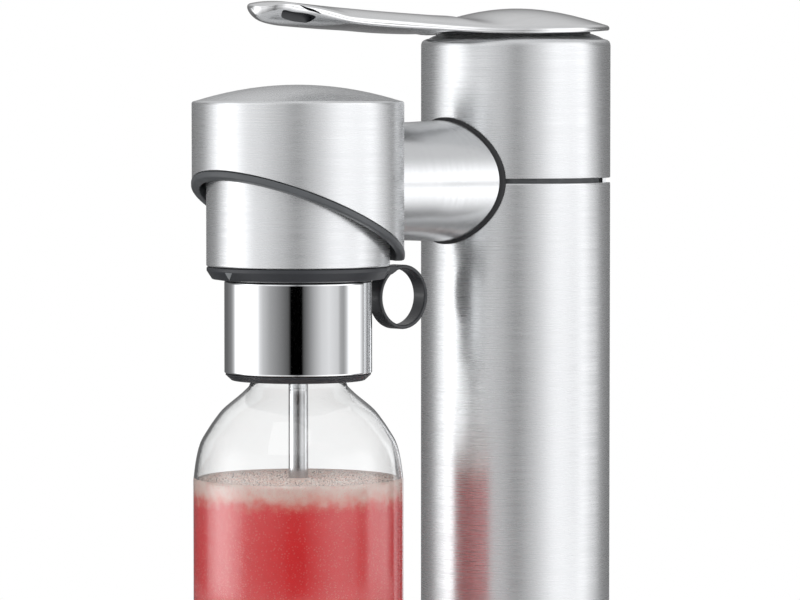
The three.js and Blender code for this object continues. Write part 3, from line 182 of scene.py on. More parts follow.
def addCamera():
    data = bpy.data.cameras.new("camera")
    data.lens = view["lens"]
    data.clip_start, data.clip_end = view["clip"]
    data.dof.use_dof = False
    camera = bpy.data.objects.new("camera", data)
    bpy.context.scene.collection.objects.link(camera)
    dip = view["dip"] * degree
    level = Vector((*view["heading"], 0)).normalized()
    aim = level * math.cos(dip) + Vector((0, 0, -math.sin(dip)))
    camera.location = view["location"]
    camera.rotation_euler = aim.to_track_quat("-Z", "Y").to_euler()
    bpy.context.scene.camera = camera


# What metal sees round the machine: degrees from the front of the studio, and brightness. Level mirrors see
# the narrow strips just under eye height, and brushed or sloping metal sees the soft boxes round them, which
# fade towards the floor and blend into a grey ceiling. The fade and the ceiling are where they begin and end, as
# sines of the height, and how bright they end. Dull surfaces see a plain light, and the camera sees white.
studio = {
    "front": 42, "strength": 1.3, "plain": 0.95, "white": 1.0, "blue": 1.01,
    "stripHeight": -4.1, "stripHalf": (2.3, 3.3), "fade": (0.3, 0.95, 0.25), "ceiling": (0.08, 0.62, 0.52),
    "strips": [(-180, 0.2), (-160, 0.1), (-143, 0.12), (-128, 0.2), (-120, 0.4), (-115, 0.9), (-97, 2.0), (-84, 2.0),
               (-65, 1.05), (-61, 0.68), (-55, 0.5), (-43, 0.32), (-28, 0.2), (-14, 0.09), (-10, 0.0), (7, 0.0),
               (10, 0.08), (17, 0.19), (28, 0.4), (38, 0.58), (50, 0.68), (66, 0.56), (71, 0.34), (77, 0.3), (82, 0.5),
               (88, 1.05), (112, 1.05), (119, 0.6), (126, 0.22), (143, 0.12), (160, 0.1), (180, 0.2)],
    "boxes": [(-180, 0.16), (-160, 0.11), (-143, 0.13), (-131, 0.13), (-118, 0.1), (-106, 0.3), (-95, 0.82),
              (-85, 1.3), (-74, 1.3), (-64, 1.02), (-54, 0.8), (-44, 0.88), (-35, 0.8), (-24, 0.61), (-14, 0.56),
              (-6, 0.36), (0, 0.2), (6, 0.36), (14, 0.54), (28, 0.7), (40, 1.04), (50, 1.24), (62, 1.18),
              (74, 1.24), (84, 1.38), (93, 1.05), (103, 0.34), (115, 0.08), (130, 0.1), (145, 0.1), (180, 0.16)],
}


def addWorld():
    world = bpy.data.worlds.new("studio")
    world.use_nodes = True
    tree = world.node_tree
    tree.nodes.clear()
    add = lambda kind, values=None, **more: addNode(tree, "ShaderNode" + kind, values, **more)
    grey = lambda light: (light, light, light * studio["blue"])
    spun = add("Mapping", Vector=add("TexCoord").outputs["Generated"], Rotation=(0, 0, studio["front"] * degree))
    way = add("SeparateXYZ", Vector=spun.outputs["Vector"]).outputs
    around = ranged(tree, maths(tree, "ARCTAN2", way["Y"], way["X"]), -math.pi, math.pi)
    strips, boxes = (ramp(tree, around, [((angle + 180) / 360, grey(light)) for angle, light in studio[name]])
                     for name in ("strips", "boxes"))
    away = maths(tree, "ABSOLUTE", maths(tree, "SUBTRACT", way["Z"], math.sin(studio["stripHeight"] * degree)))
    aside = ranged(tree, away, *(math.sin(half * degree) for half in studio["stripHalf"]), easing="SMOOTHSTEP")
    start, end, left = studio["fade"]
    strength = ranged(tree, maths(tree, "MULTIPLY", way["Z"], -1), start, end,
                      studio["strength"], studio["strength"] * left)
    start, end, light = studio["ceiling"]
    roofed = mixed(tree, ranged(tree, way["Z"], start, end, easing="SMOOTHSTEP"),
                   mixed(tree, aside, strips, boxes), (*grey(light), 1))
    bands = add("Background", Color=roofed, Strength=strength).outputs[0]
    dull, white = (add("Background", Color=(1, 1, 1, 1), Strength=studio[name]).outputs[0]
                   for name in ("plain", "white"))
    rays = add("LightPath").outputs
    mirrored = maths(tree, "GREATER_THAN", rays["Glossy Depth"], 0.5)
    glossy = maths(tree, "SUBTRACT", mirrored, rays["Is Diffuse Ray"], clamp=True)  # not if it last left a dull surface
    first = add("MixShader", {0: seenDirectly(tree), 1: dull, 2: white}).outputs[0]
    second = add("MixShader", {0: glossy, 1: first, 2: bands}).outputs[0]
    add("OutputWorld", Surface=second)
    bpy.context.scene.world = world


floorPlan = {"radius": 1.6, "sides": 96, "clear": 0.45, "faded": 1.3, "grey": 0.9,
             "lamp": (0.7, -1.1, 1.7), "lampAim": (0, 0, 0.2), "lampSize": 1.4, "watts": 9}


def addFloor():
    # The floor fades to white away from the machine, where the camera sees it, and takes the machine's shadow.
    p = floorPlan
    bm = bmesh.new()
    bmesh.ops.create_circle(bm, cap_ends=True, segments=p["sides"], radius=p["radius"])
    floor = raw(bm, "floor")
    finish = Finish("paleFloor", (p["grey"],) * 3, 0.6, Specular_IOR_Level=0.1)
    tree = finish.tree
    away = finish.add("VectorMath", {"operation": "LENGTH", 0: finish.place}).outputs["Value"]
    fade = ranged(tree, away, p["clear"], p["faded"], easing="SMOOTHSTEP")
    white = finish.add("Emission").outputs[0]
    both = finish.add("MixShader", {0: maths(tree, "MULTIPLY", seenDirectly(tree), fade),
                                    1: finish.shader.outputs[0], 2: white})
    tree.links.new(both.outputs[0], tree.nodes["Material Output"].inputs["Surface"])
    floor.data.materials.append(finish.material)
    floor.visible_glossy = False
    data = bpy.data.lights.new("softbox", "AREA")
    data.size = p["lampSize"]
    data.energy = p["watts"]
    lamp = bpy.data.objects.new("softbox", data)
    bpy.context.scene.collection.objects.link(lamp)
    lamp.location = p["lamp"]
    lamp.rotation_euler = (Vector(p["lampAim"]) - lamp.location).to_track_quat("-Z", "Y").to_euler()
    lamp.visible_glossy = False
    bpy.context.scene.view_settings.view_transform = "Standard"


addCamera()
addWorld()
addFloor()
print("studio ready")


# Materials

# How the finishes vary: textures' scales, shares of the colour and roughness at both ends, and the relief's depth in
# millimetres and its strength.
looks = {
    "brushed": {"broad": 0.23, "broadShare": 0.4, "roughness": (1.2, 0.82), "relief": (0.003, 0.17)},
    "moulded": {"cloud": 70, "colour": (0.88, 1.14), "roughness": (1.12, 0.88), "strength": 0.3},
    "cast": {"cells": 900, "cloud": 120, "colour": (0.86, 1.1), "roughness": (0.9, 1.15), "cellRange": (0, 0.8),
             "relief": (0.05, 0.4)},
    "clear": {"smears": (90, 90, 40), "roughness": (0.0, 0.035), "smearRange": (0.45, 0.8), "waves": (22, 22, 9),
              "relief": (0.05, 0.25)},
}


def brushed(name, colour, roughness, lines, metallic, contrast=0.035):
    # Fine scratches lie along the axes where `lines` is small, and smears of wider ones cross them.
    look = looks["brushed"]
    finish = Finish(name, colour, roughness, metallic)
    fine = finish.noise(lines, detail=4.0)
    broad = finish.noise([value * look["broad"] for value in lines], detail=2.0)
    streaks = finish.sum(fine, broad, look["broadShare"])
    finish.varyColour(streaks, colour, (1 - contrast, 1 + contrast))
    finish.varyGloss(streaks, roughness, look["roughness"])
    finish.bump(fine, *look["relief"])
    return finish.material


def moulded(name, colour, roughness, grain=2600, depth=0.012, specular=0.5):
    # Fine grain of an injection tool, with faint clouding in the colour and gloss.
    look = looks["moulded"]
    finish = Finish(name, colour, roughness, Specular_IOR_Level=specular)
    cloud = finish.noise(look["cloud"])
    finish.varyColour(cloud, colour, look["colour"])
    finish.varyGloss(cloud, roughness, look["roughness"])
    finish.bump(finish.noise(grain, detail=2.0), depth, look["strength"])
    return finish.material


def cast(name, colour, roughness):
    # The pebbled skin of a casting.
    look = looks["cast"]
    finish = Finish(name, colour, roughness, 1.0)
    skinCells = finish.cells(look["cells"])
    cloud = finish.noise(look["cloud"], detail=4.0)
    finish.varyColour(cloud, colour, look["colour"])
    finish.varyGloss(skinCells, roughness, look["roughness"], *look["cellRange"])
    finish.bump(skinCells, *look["relief"])
    return finish.material


def clearPlastic(name, colour):
    # Faint smears and waves, as a blown wall has.
    look = looks["clear"]
    finish = Finish(name, colour, 0.01, Transmission_Weight=1.0, IOR=1.5)
    smears = finish.noise(look["smears"], detail=4.0)
    finish.use("Roughness", finish.spread(smears, *look["roughness"], *look["smearRange"]))
    finish.bump(finish.noise(look["waves"], detail=1.0), *look["relief"])
    return finish.material


# Heights and colours of the drink: foam at the top, with a ragged lower edge, then a speckled red.
drinkLook = {
    "levels": [(0.0, (0.92, 0.03, 0.04)), (0.55, (0.93, 0.034, 0.042)), (0.875, (0.94, 0.042, 0.048)),
               (0.94, (0.94, 0.07, 0.075)), (0.953, (0.95, 0.22, 0.19)), (0.966, (0.97, 0.55, 0.47)),
               (0.98, (0.99, 0.75, 0.67)), (1.0, (1.0, 0.84, 0.76))],
    "low": 30, "high": 226, "ragged": 10, "spark": (1.0, 0.4, 0.34), "sparkSize": (0.06, 0.34), "sparkShare": 0.5,
    "shade": (0.9, 0.55, 0.55), "shadeShare": 0.3, "edgeScale": 210, "shadeScale": 260,
    "shadeRange": (0.3, 0.65), "cells": 900, "relief": (0.05, 0.3),
}


def redDrink(name, colour):
    d = drinkLook
    finish = Finish(name, colour, 0.3, IOR=1.33, Coat_Weight=1.0, Coat_IOR=1.7, Coat_Roughness=0.03)
    height = finish.add("SeparateXYZ", Vector=finish.place).outputs["Z"]
    lifted = maths(finish.tree, "MULTIPLY_ADD", finish.noise(d["edgeScale"], detail=6.0), d["ragged"] * mm, height)
    middle = d["ragged"] * mm / 2
    level = finish.spread(lifted, 0.0, 1.0, d["low"] * mm + middle, d["high"] * mm + middle)
    body = ramp(finish.tree, level, d["levels"])
    shade = finish.tint(finish.noise(d["shadeScale"], detail=4.0), d["shade"], (1, 1, 1), *d["shadeRange"])
    mottled = mixed(finish.tree, d["shadeShare"], body, shade, "MULTIPLY")
    sparks = finish.tint(finish.cells(d["cells"]), (1, 1, 1), (0, 0, 0), *d["sparkSize"])
    share = finish.spread(sparks, 0.0, d["sparkShare"], 0.0, 1.0)
    finish.use("Base Color", mixed(finish.tree, share, mottled, (*d["spark"], 1)))
    finish.bump(finish.cells(d["cells"]), *d["relief"])
    return finish.material


def foamBubbles(name, colour, dark, light):
    finish = Finish(name, colour, 0.18, IOR=1.33)
    cloud = finish.noise(300)
    finish.use("Base Color", finish.tint(cloud, dark, light))
    finish.use("Roughness", finish.spread(cloud, 0.12, 0.3))
    return finish.material


steel = (0.74, 0.75, 0.76)
finishes = {
    "brushedRound": brushed("brushedRound", steel, 0.27, (34, 34, 2300), 0.84),
    "brushedArm": brushed("brushedArm", steel, 0.22, (34, 2300, 34), 0.88),
    "brushedTop": brushed("brushedTop", steel, 0.27, (2300, 34, 34), 0.84),
    "polished": brushed("polished", (0.78, 0.785, 0.79), 0.13, (900, 40, 900), 0.94, contrast=0.025),
    "nozzleSteel": brushed("nozzleSteel", steel, 0.12, (60, 60, 900), 0.95, contrast=0.05),
    "chrome": brushed("chrome", (0.8, 0.81, 0.82), 0.035, (500, 500, 40), 1.0, contrast=0.012),
    "blackPlastic": moulded("blackPlastic", (0.03, 0.032, 0.037), 0.36),
    "ringPlastic": moulded("ringPlastic", (0.028, 0.03, 0.034), 0.27),
    "rimPlastic": moulded("rimPlastic", (0.075, 0.08, 0.086), 0.4),
    "greyPlastic": moulded("greyPlastic", (0.09, 0.095, 0.1), 0.48, depth=0.02),
    "markPaint": moulded("markPaint", (0.2, 0.21, 0.22), 0.45, grain=4000, depth=0.004),
    "rubber": moulded("rubber", (0.022, 0.022, 0.024), 0.62, grain=1500, depth=0.03, specular=0.35),
    "castAluminium": cast("castAluminium", (0.52, 0.53, 0.54), 0.42),
    "brass": brushed("brass", (0.75, 0.56, 0.28), 0.25, (400, 400, 60), 1.0, contrast=0.06),
    "springSteel": brushed("springSteel", (0.55, 0.56, 0.58), 0.24, (700, 700, 700), 1.0, contrast=0.08),
    "cylinderPaint": moulded("cylinderPaint", (0.6, 0.62, 0.65), 0.33, grain=700, depth=0.02),
    "clear": clearPlastic("clearWall", (0.985, 0.99, 0.99)),
    "drink": redDrink("redDrink", (0.92, 0.026, 0.04)),
    "foam": foamBubbles("foamBubbles", (0.99, 0.84, 0.77), (0.97, 0.72, 0.64), (1.0, 0.92, 0.87)),
}
print("materials ready:", len(finishes))


# Shapes

rounding = {"faces": 5, "reach": 0.48}  # faces round a small edge, and the most of a side that it takes
support = {"least": 3, "inset": 0.5}
weld = {"doubles": 1e-4, "slivers": 1e-5}


def eased(points, closed=True):
    # Rounds each corner that carries a radius as its third number.
    result = []
    for k, point in enumerate(points):
        here = Vector(point[:2])
        if len(point) < 3:
            result.append(here)
            continue
        toBefore = Vector(points[k - 1][:2]) - here
        toAfter = Vector(points[(k + 1) % len(points)][:2]) - here
        half = toBefore.angle(toAfter) / 2
        most = rounding["reach"] * min(toBefore.length, toAfter.length)
        reach = min(point[2] / math.tan(half), most)
        start, end = here + toBefore.normalized() * reach, here + toAfter.normalized() * reach
        for step in range(rounding["faces"] + 1):
            t = step / rounding["faces"]
            a, b, c = (1 - t) ** 2, 2 * t * (1 - t) * math.sin(half), t ** 2
            result.append((start * a + here * b + end * c) / (a + b + c))
    return supported(result, closed)


def supported(points, closed):
    # Extra points beside the rounded edges, so that long faces keep their own shading.
    result = []
    for k, here in enumerate(points):
        result.append(here)
        if k == len(points) - 1 and not closed:
            break
        span = points[(k + 1) % len(points)] - here
        if span.length > support["least"]:
            step = span.normalized() * support["inset"]
            result += [here + step, here + span - step]
    return result


def skinned(rows, around=True, closed=True):
    # A mesh through rows of points. Rows are loops if `closed`, and the last row meets the first if `around`.
    bm = bmesh.new()
    grid = [[bm.verts.new(point) for point in row] for row in rows]
    size = len(rows[0])
    for k in range(len(rows) if around else len(rows) - 1):
        after = grid[(k + 1) % len(rows)]
        for i in range(size if closed else size - 1):
            j = (i + 1) % size
            bm.faces.new((grid[k][i], grid[k][j], after[j], after[i]))
    if not around:
        bm.faces.new(grid[0])
        bm.faces.new(grid[-1])
    bmesh.ops.remove_doubles(bm, verts=bm.verts, dist=weld["doubles"])
    bmesh.ops.dissolve_degenerate(bm, edges=bm.edges, dist=weld["slivers"])
    if bm.calc_volume(signed=True) < 0:
        bmesh.ops.reverse_faces(bm, faces=bm.faces)
    return bm


def turned(profile, steps=144):
    # A profile of (radius, height, rounding) turned about Z. It may start and end on the axis.
    closed = profile[0][0] > 0 or profile[-1][0] > 0
    points = eased(profile, closed)
    rows = []
    for k in range(steps):
        out = Vector((math.cos(2 * math.pi * k / steps), math.sin(2 * math.pi * k / steps), 0))
        rows.append([out * radius + Vector((0, 0, height)) for radius, height in points])
    return skinned(rows, closed=closed)


def rod(radius, start, end):
    return [(0, start), (radius, start), (radius, end), (0, end)]


def turnedAlongX(profile, y, z, steps=96):
    bm = turned(profile, steps)
    bmesh.ops.transform(bm, verts=bm.verts,
                        matrix=Matrix.Translation((0, y, z)) @ Matrix.Rotation(math.pi / 2, 4, "Y"))
    return bm


def turnedAlongY(profile, x, z, steps=96):
    bm = turned(profile, steps)
    bmesh.ops.transform(bm, verts=bm.verts,
                        matrix=Matrix.Translation((x, 0, z)) @ Matrix.Rotation(-math.pi / 2, 4, "X"))
    return bm


def block(half, front, rear, low, high, rounding=0.0):
    bm = bmesh.new()
    bmesh.ops.create_cube(bm, size=1)
    bmesh.ops.scale(bm, vec=(2 * half, rear - front, high - low), verts=bm.verts)
    bmesh.ops.translate(bm, vec=(0, (front + rear) / 2, (low + high) / 2), verts=bm.verts)
    if rounding:
        bmesh.ops.bevel(bm, geom=bm.edges[:] + bm.verts[:], offset=rounding, segments=3, profile=0.5, affect="EDGES")
    return bm


def worked(piece, *tools, operation="DIFFERENCE"):
    # Cuts the tools out of the piece, or joins them to it, and leaves a plain mesh.
    for tool in tools:
        change = piece.modifiers.new("carve", "BOOLEAN")
        change.operation, change.solver, change.object = operation, "EXACT", tool
    plain(piece)
    for tool in tools:
        bpy.data.objects.remove(tool)
    return piece


def plain(piece):
    made = bpy.data.meshes.new_from_object(piece.evaluated_get(bpy.context.evaluated_depsgraph_get()))
    piece.modifiers.clear()
    piece.data = made


def joined(piece, *others):
    bm = bmesh.new()
    for other in (piece, *others):
        bm.from_mesh(other.data)
    bm.to_mesh(piece.data)
    bm.free()
    for other in others:
        bpy.data.objects.remove(other)
    return piece


def settled(piece, name, atY, body, finish, *replaced, sharp=32):
    # Puts a finished piece in its place, in metres, and makes it ride on its body and stand for the replaced nodes.
    piece.name = piece.data.name = name
    piece.data.transform(Matrix.Scale(mm, 4) @ Matrix.Translation((0, atY, 0)))
    piece.data.materials.clear()
    piece.data.materials.append(finishes[finish])
    piece.data.shade_smooth()
    piece.data.set_sharp_from_angle(angle=sharp * degree)
    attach(piece, body)
    if replaced:
        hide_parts(*replaced)
    return piece


def along(table, place):
    # Smooth curve through a table of (place, value) pairs.
    if place <= table[0][0]:
        return table[0][1]
    if place >= table[-1][0]:
        return table[-1][1]
    last = len(table) - 1
    k = max(i for i in range(last) if table[i][0] <= place)

    def slope(i):
        before, after = table[max(i - 1, 0)], table[min(i + 1, last)]
        return (after[1] - before[1]) / (after[0] - before[0])

    span = table[k + 1][0] - table[k][0]
    t = (place - table[k][0]) / span
    return ((2 * t ** 3 - 3 * t ** 2 + 1) * table[k][1] + (t ** 3 - 2 * t ** 2 + t) * span * slope(k)
            + (3 * t ** 2 - 2 * t ** 3) * table[k + 1][1] + (t ** 3 - t ** 2) * span * slope(k + 1))


def ease(low, high, share):
    share = min(max(share, 0), 1)
    return low + (high - low) * share * share * (3 - 2 * share)


# Base

base = {"radius": 66, "low": 3, "top": 15, "wall": 1.8, "edge": 1.5, "well": 54, "wellWall": 1.5, "wellFloor": 7.5,
        "wellLow": 6.3, "wellHigh": 14.2, "wellCorner": 0.8, "columnHole": 39.9, "above": 20,
        "tray": [(0, 7.8), (53.7, 7.8, 1.2), (53.7, 14.4, 0.4), (52.5, 14.4, 0.4), (52.5, 9, 2), (0, 9)]}


def stadium(profile, steps=72):
    # A profile swept round an outline with a round end about each axis.
    points = eased(profile, closed=True)
    rows = []
    for end, start in ((0, 0), (-machine["headReach"], math.pi)):
        for k in range(steps + 1):
            angle = start + math.pi * k / steps
            rows.append([Vector((out * math.cos(angle), end + out * math.sin(angle), height))
                         for out, height in points])
    return skinned(rows)


def buildBase():
    b = base
    inside, under = b["radius"] - b["wall"], b["top"] - b["wall"]
    body = raw(stadium([(b["radius"], b["low"], 0.3), (b["radius"], b["top"], b["edge"]), (0, b["top"]), (0, under),
                        (inside, under), (inside, b["low"])]))
    well = raw(turned(rod(b["well"] + b["wellWall"], b["wellLow"], b["wellHigh"])))
    room = raw(turned([(0, b["wellFloor"]), (b["well"], b["wellFloor"], b["wellCorner"]), (b["well"], b["above"]),
                       (0, b["above"])]))
    hole = raw(turned(rod(b["columnHole"], 0, b["above"])))
    for piece in (well, room):
        piece.data.transform(Matrix.Translation((0, -machine["headReach"], 0)))
    worked(body, well, operation="UNION")
    worked(body, room, hole)
    settled(body, "base_cover_shell", columnY, "frame", "brushedTop", "base_cover")
    settled(raw(turned(b["tray"])), "drip_tray_bowl", headY, "drip_tray", "blackPlastic", "drip_tray")


buildBase()
print("base built")


# Geometry Nodes

socketKinds = {int: "NodeSocketInt", float: "NodeSocketFloat", tuple: "NodeSocketRotation"}


def newTree(name, sizes):
    # A node group with a named input for each size. Returns the tree, its inputs and a way to add linked nodes.
    tree = bpy.data.node_groups.new(name, "GeometryNodeTree")
    tree.interface.new_socket("Geometry", in_out="INPUT", socket_type="NodeSocketGeometry")
    for label, value in sizes.items():
        made = tree.interface.new_socket(label, in_out="INPUT", socket_type=socketKinds[type(value)])
        made.default_value = value
    tree.interface.new_socket("Geometry", in_out="OUTPUT", socket_type="NodeSocketGeometry")
    add = lambda kind, values=None, **more: addNode(tree, kind, values, **more)
    return tree, add("NodeGroupInput").outputs, add


def ended(tree, add, shape, finish):
    loose = add("GeometryNodeRealizeInstances", Geometry=shape)
    painted = add("GeometryNodeSetMaterial", Geometry=loose.outputs["Geometry"], Material=finishes[finish])
    add("NodeGroupOutput", Geometry=painted.outputs["Geometry"])
    return tree


def grown(tree, start, values):
    # Runs a tree on a start mesh and returns the result as a plain object.
    piece = raw(start, tree.name)
    change = piece.modifiers.new(tree.name, "NODES")
    change.node_group = tree
    for item in tree.interface.items_tree:
        if item.in_out == "INPUT" and item.name in values:
            change[item.identifier] = values[item.name]
    plain(piece)
    return piece


def pointsMesh(places):
    bm = bmesh.new()
    for place in places:
        bm.verts.new(place)
    return bm


grille = {"Bars": 10, "Pitch": 9.0, "Bar Width": 4.0, "Thickness": 1.5, "Reach": 49.5, "Rounding": 0.5}
grilleHeight = 15.45
grilleRim = [(47.7, 14.7, 0.5), (53.7, 14.7, 0.4), (53.7, 16.2, 0.6), (47.7, 16.2, 0.5)]


def grilleTree():
    # Bars side by side, each as long as the round opening is there.
    tree, given, add = newTree("grilleBars", grille)
    calc = lambda *terms: maths(tree, *terms)
    pitch, reach = given["Pitch"], given["Reach"]
    step = add("ShaderNodeCombineXYZ", X=pitch)
    line = add("GeometryNodeMeshLine", mode="OFFSET", Count=given["Bars"], Offset=step.outputs[0])
    middle = calc("DIVIDE", calc("SUBTRACT", given["Bars"], 1.0), 2.0)
    aside = calc("MULTIPLY", calc("SUBTRACT", add("GeometryNodeInputIndex").outputs[0], middle), pitch)
    place = add("ShaderNodeCombineXYZ", X=aside)
    moved = add("GeometryNodeSetPosition", Geometry=line.outputs[0], Position=place.outputs[0])
    chord = calc("SQRT", calc("SUBTRACT", calc("MULTIPLY", reach, reach), calc("MULTIPLY", aside, aside)))
    size = add("ShaderNodeCombineXYZ", X=1.0, Y=chord, Z=1.0)
    bar = add("GeometryNodeCurvePrimitiveLine", Start=(0, -1, 0), End=(0, 1, 0))
    bars = add("GeometryNodeInstanceOnPoints", Points=moved.outputs[0], Instance=bar.outputs[0], Scale=size.outputs[0])
    loose = add("GeometryNodeRealizeInstances", Geometry=bars.outputs[0])
    section = add("GeometryNodeCurvePrimitiveQuadrilateral", Width=given["Bar Width"], Height=given["Thickness"])
    soft = add("GeometryNodeFilletCurve", mode="POLY", Count=4, Curve=section.outputs[0], Radius=given["Rounding"])
    solid = add("GeometryNodeCurveToMesh", Fill_Caps=True, Curve=loose.outputs[0], Profile_Curve=soft.outputs[0])
    return ended(tree, add, solid.outputs[0], "brushedTop")


screw = {"Head Radius": 3.0, "Head": 2.0, "Shank Radius": 1.6, "Length": 9.0, "Socket Radius": 1.55,
         "Socket Depth": 1.2, "Turn": (0, 0, 0)}


def onCircle(radius, angle, height):
    return radius * math.cos(angle * degree), radius * math.sin(angle * degree), height


screwSets = {
    "base": {"values": {"Length": 9.0, "Turn": (0, 0, 0)},
             "places": [onCircle(36.2, angle, 3) for angle in (210, 270, 330)]},
    "deck": {"values": {"Length": 9.5, "Turn": (math.pi, 0, 0)},
             "places": [onCircle(20, angle, 402.3) for angle in (30, 150, 270)]},
    "arm": {"values": {"Length": 19.0, "Turn": (math.pi / 2, 0, 0)},
            "places": [(x, -28.2, armHeight + z) for x in (-13.79, 13.79) for z in (-13.79, 13.79)]},
}


def screwTree():
    # A round head with a hexagon socket at the start point, and the shank above it.
    tree, given, add = newTree("socketScrews", screw)
    calc = lambda *terms: maths(tree, *terms)

    def cylinder(sides, radius, depth):
        return add("GeometryNodeMeshCylinder", Vertices=sides, Radius=radius, Depth=depth).outputs[0]

    def raised(shape, height):
        shift = add("ShaderNodeCombineXYZ", Z=height)
        return add("GeometryNodeTransform", Geometry=shape, Translation=shift.outputs[0]).outputs[0]

    length = calc("SUBTRACT", given["Length"], given["Head"])
    head = raised(cylinder(36, given["Head Radius"], given["Head"]), calc("MULTIPLY", given["Head"], 0.5))
    hexagon = cylinder(6, given["Socket Radius"], calc("MULTIPLY", given["Socket Depth"], 2.0))
    middle = calc("ADD", calc("MULTIPLY", length, 0.5), given["Head"])
    shank = raised(cylinder(24, given["Shank Radius"], length), middle)
    holed = add("GeometryNodeMeshBoolean", operation="DIFFERENCE", Mesh_1=head, Mesh_2=hexagon).outputs[0]
    both = add("GeometryNodeJoinGeometry")
    for shape in (shank, holed):
        tree.links.new(shape, both.inputs[0])
    many = add("GeometryNodeInstanceOnPoints", Points=given["Geometry"], Instance=both.outputs[0],
               Rotation=given["Turn"])
    return ended(tree, add, many.outputs[0], "springSteel")


feet = {
    "profile": [(0, 0.5), (5, 0.5, 0.3), (5.6, 0, 0.2), (8, 0, 0.7), (8, 2.7, 0.4), (2.5, 2.7), (2.5, 5.7, 0.4),
                (0, 5.7)],
    "places": {"foot_front_left": (-34.93, -157.15), "foot_front_right": (34.93, -157.15),
               "foot_rear_left": (-34.93, 31.45), "foot_rear_right": (34.93, 31.45)},
}


def buildRepeats():
    bars = grown(grilleTree(), pointsMesh([(0, 0, 0)]), grille)
    bars.data.transform(Matrix.Translation((0, 0, grilleHeight)))
    settled(joined(raw(turned(grilleRim)), bars), "drip_grille_bars", headY, "drip_tray", "brushedTop", "drip_grille")
    tree = screwTree()
    for name, group in screwSets.items():
        made = grown(tree, pointsMesh(group["places"]), {**screw, **group["values"]})
        hidden = [node for node in nodes if node.startswith(name + "_screw_")]
        settled(made, name + "_screws", columnY, "frame", "springSteel", *hidden)
    shapes = []
    for x, y in feet["places"].values():
        foot = turned(feet["profile"], 48)
        bmesh.ops.translate(foot, vec=(x, y, 0), verts=foot.verts)
        shapes.append(raw(foot))
    settled(joined(*shapes), "rubber_feet", columnY, "frame", "rubber", *feet["places"])


buildRepeats()
print("grille, screws and feet built")


# Column

column = {
    "wall": 1.5, "low": 15.3, "lowEdge": 0.3, "seamLow": 348.3, "seamHigh": 350.3, "edge": 0.4, "armHole": 24.6,
    "notch": (-50, -10), "shoulder": 407.9, "mouth": 33.0, "top": 413.2, "underTop": 411.7, "underEnd": 407.2,
    "bend": [(41.38, 408.9), (41, 409.75), (40.2, 410.4), (39.2, 410.75), (38.2, 411.0), (36.4, 411.95)],
    "under": [(36.2, 410.45), (38.2, 409.5), (39.5, 408.6)],
    "openHalf": 31.0, "lipHalf": 28.5, "lipInner": 38.2, "lipTop": 355.3, "lips": [(39.7, 343.3), (40.75, 350.6)],
    "coverHalf": 30.7, "coverLow": 15.6, "coverHigh": 348.0, "flange": (0.75, 19.6, 26.4), "flangeAside": 29.75,
}
leverPin = {"y": 28, "z": 410, "radius": 2.3}
collar = {
    "ring": [(30, 400.3), (32.7, 400.3), (32.7, 414, 0.5), (12, 414, 0.3), (12, 400.3), (15, 400.3), (15, 411),
             (30, 411)],
    "ears": (14.5, 23, 30, 402.3, 413.9), "slot": (6.3, 21, 36, 398, 416), "pinHalf": 17,
}


def arcShell(profile, halfOf, rear, steps=150):
    # Part of a ring. halfOf gives half the opening's width at the rear, and `rear` keeps the rear part instead.
    points = eased(profile)
    rows = []
    for k in range(steps + 1):
        row = []
        for radius, height in points:
            edge = math.asin(halfOf / radius)
            start, end = ((math.pi / 2 - edge, math.pi / 2 + edge) if rear
                          else (math.pi / 2 + edge, math.pi * 5 / 2 - edge))
            angle = start + (end - start) * k / steps
            row.append(Vector((radius * math.cos(angle), radius * math.sin(angle), height)))
        rows.append(row)
    return skinned(rows, around=False)


def buildColumn():
    c, radius = column, machine["columnRadius"]
    inner = radius - c["wall"]
    notch = lambda: raw(turnedAlongY(rod(c["armHole"], *c["notch"]), 0, armHeight))
    lower = raw(arcShell([(radius, c["low"], c["lowEdge"]), (radius, c["seamLow"], c["edge"]), (inner, c["seamLow"]),
                          (inner, c["low"])], c["openHalf"], False))
    settled(worked(lower, notch()), "column_sleeve", columnY, "frame", "brushedRound", "column_lower_shell")
    bend = [(radius, c["shoulder"]), *c["bend"], (c["mouth"], c["top"], 0.3)]
    under = [(c["mouth"], c["underTop"]), *c["under"], (inner, c["underEnd"])]
    upper = raw(turned([(radius, c["seamHigh"], c["edge"]), *bend, *under, (inner, c["seamHigh"])], 160))
    worked(upper, notch())
    lips = [raw(arcShell([(out, low), (out, c["lipTop"]), (c["lipInner"], c["lipTop"]), (c["lipInner"], low)],
                         c["lipHalf"], True, 60)) for out, low in c["lips"]]
    settled(joined(upper, *lips), "column_crown", columnY, "frame", "brushedRound", "column_upper_shell")
    low, high = c["coverLow"], c["coverHigh"]
    cover = raw(arcShell([(radius, low, c["edge"]), (radius, high, c["edge"]), (inner, high), (inner, low)],
                         c["coverHalf"], True, 80))
    flanges = []
    for aside in (-c["flangeAside"], c["flangeAside"]):
        flange = block(*c["flange"], low, high)
        bmesh.ops.translate(flange, vec=(aside, 0, 0), verts=flange.verts)
        flanges.append(raw(flange))
    settled(joined(cover, *flanges), "rear_cover_panel", columnY, "rear_cover", "brushedRound", "rear_cover")
    ring = worked(raw(turned(collar["ring"], 120)), raw(block(*collar["ears"])), operation="UNION")
    half = collar["pinHalf"]
    hole = raw(turnedAlongX(rod(leverPin["radius"], -half, half), leverPin["y"], leverPin["z"], 32))
    settled(worked(ring, raw(block(*collar["slot"])), hole), "lever_collar_ring", columnY, "frame", "blackPlastic",
            "lever_collar")


buildColumn()
print("column built")


# Lever: places are shares of its reach, heights are shares of its rise.

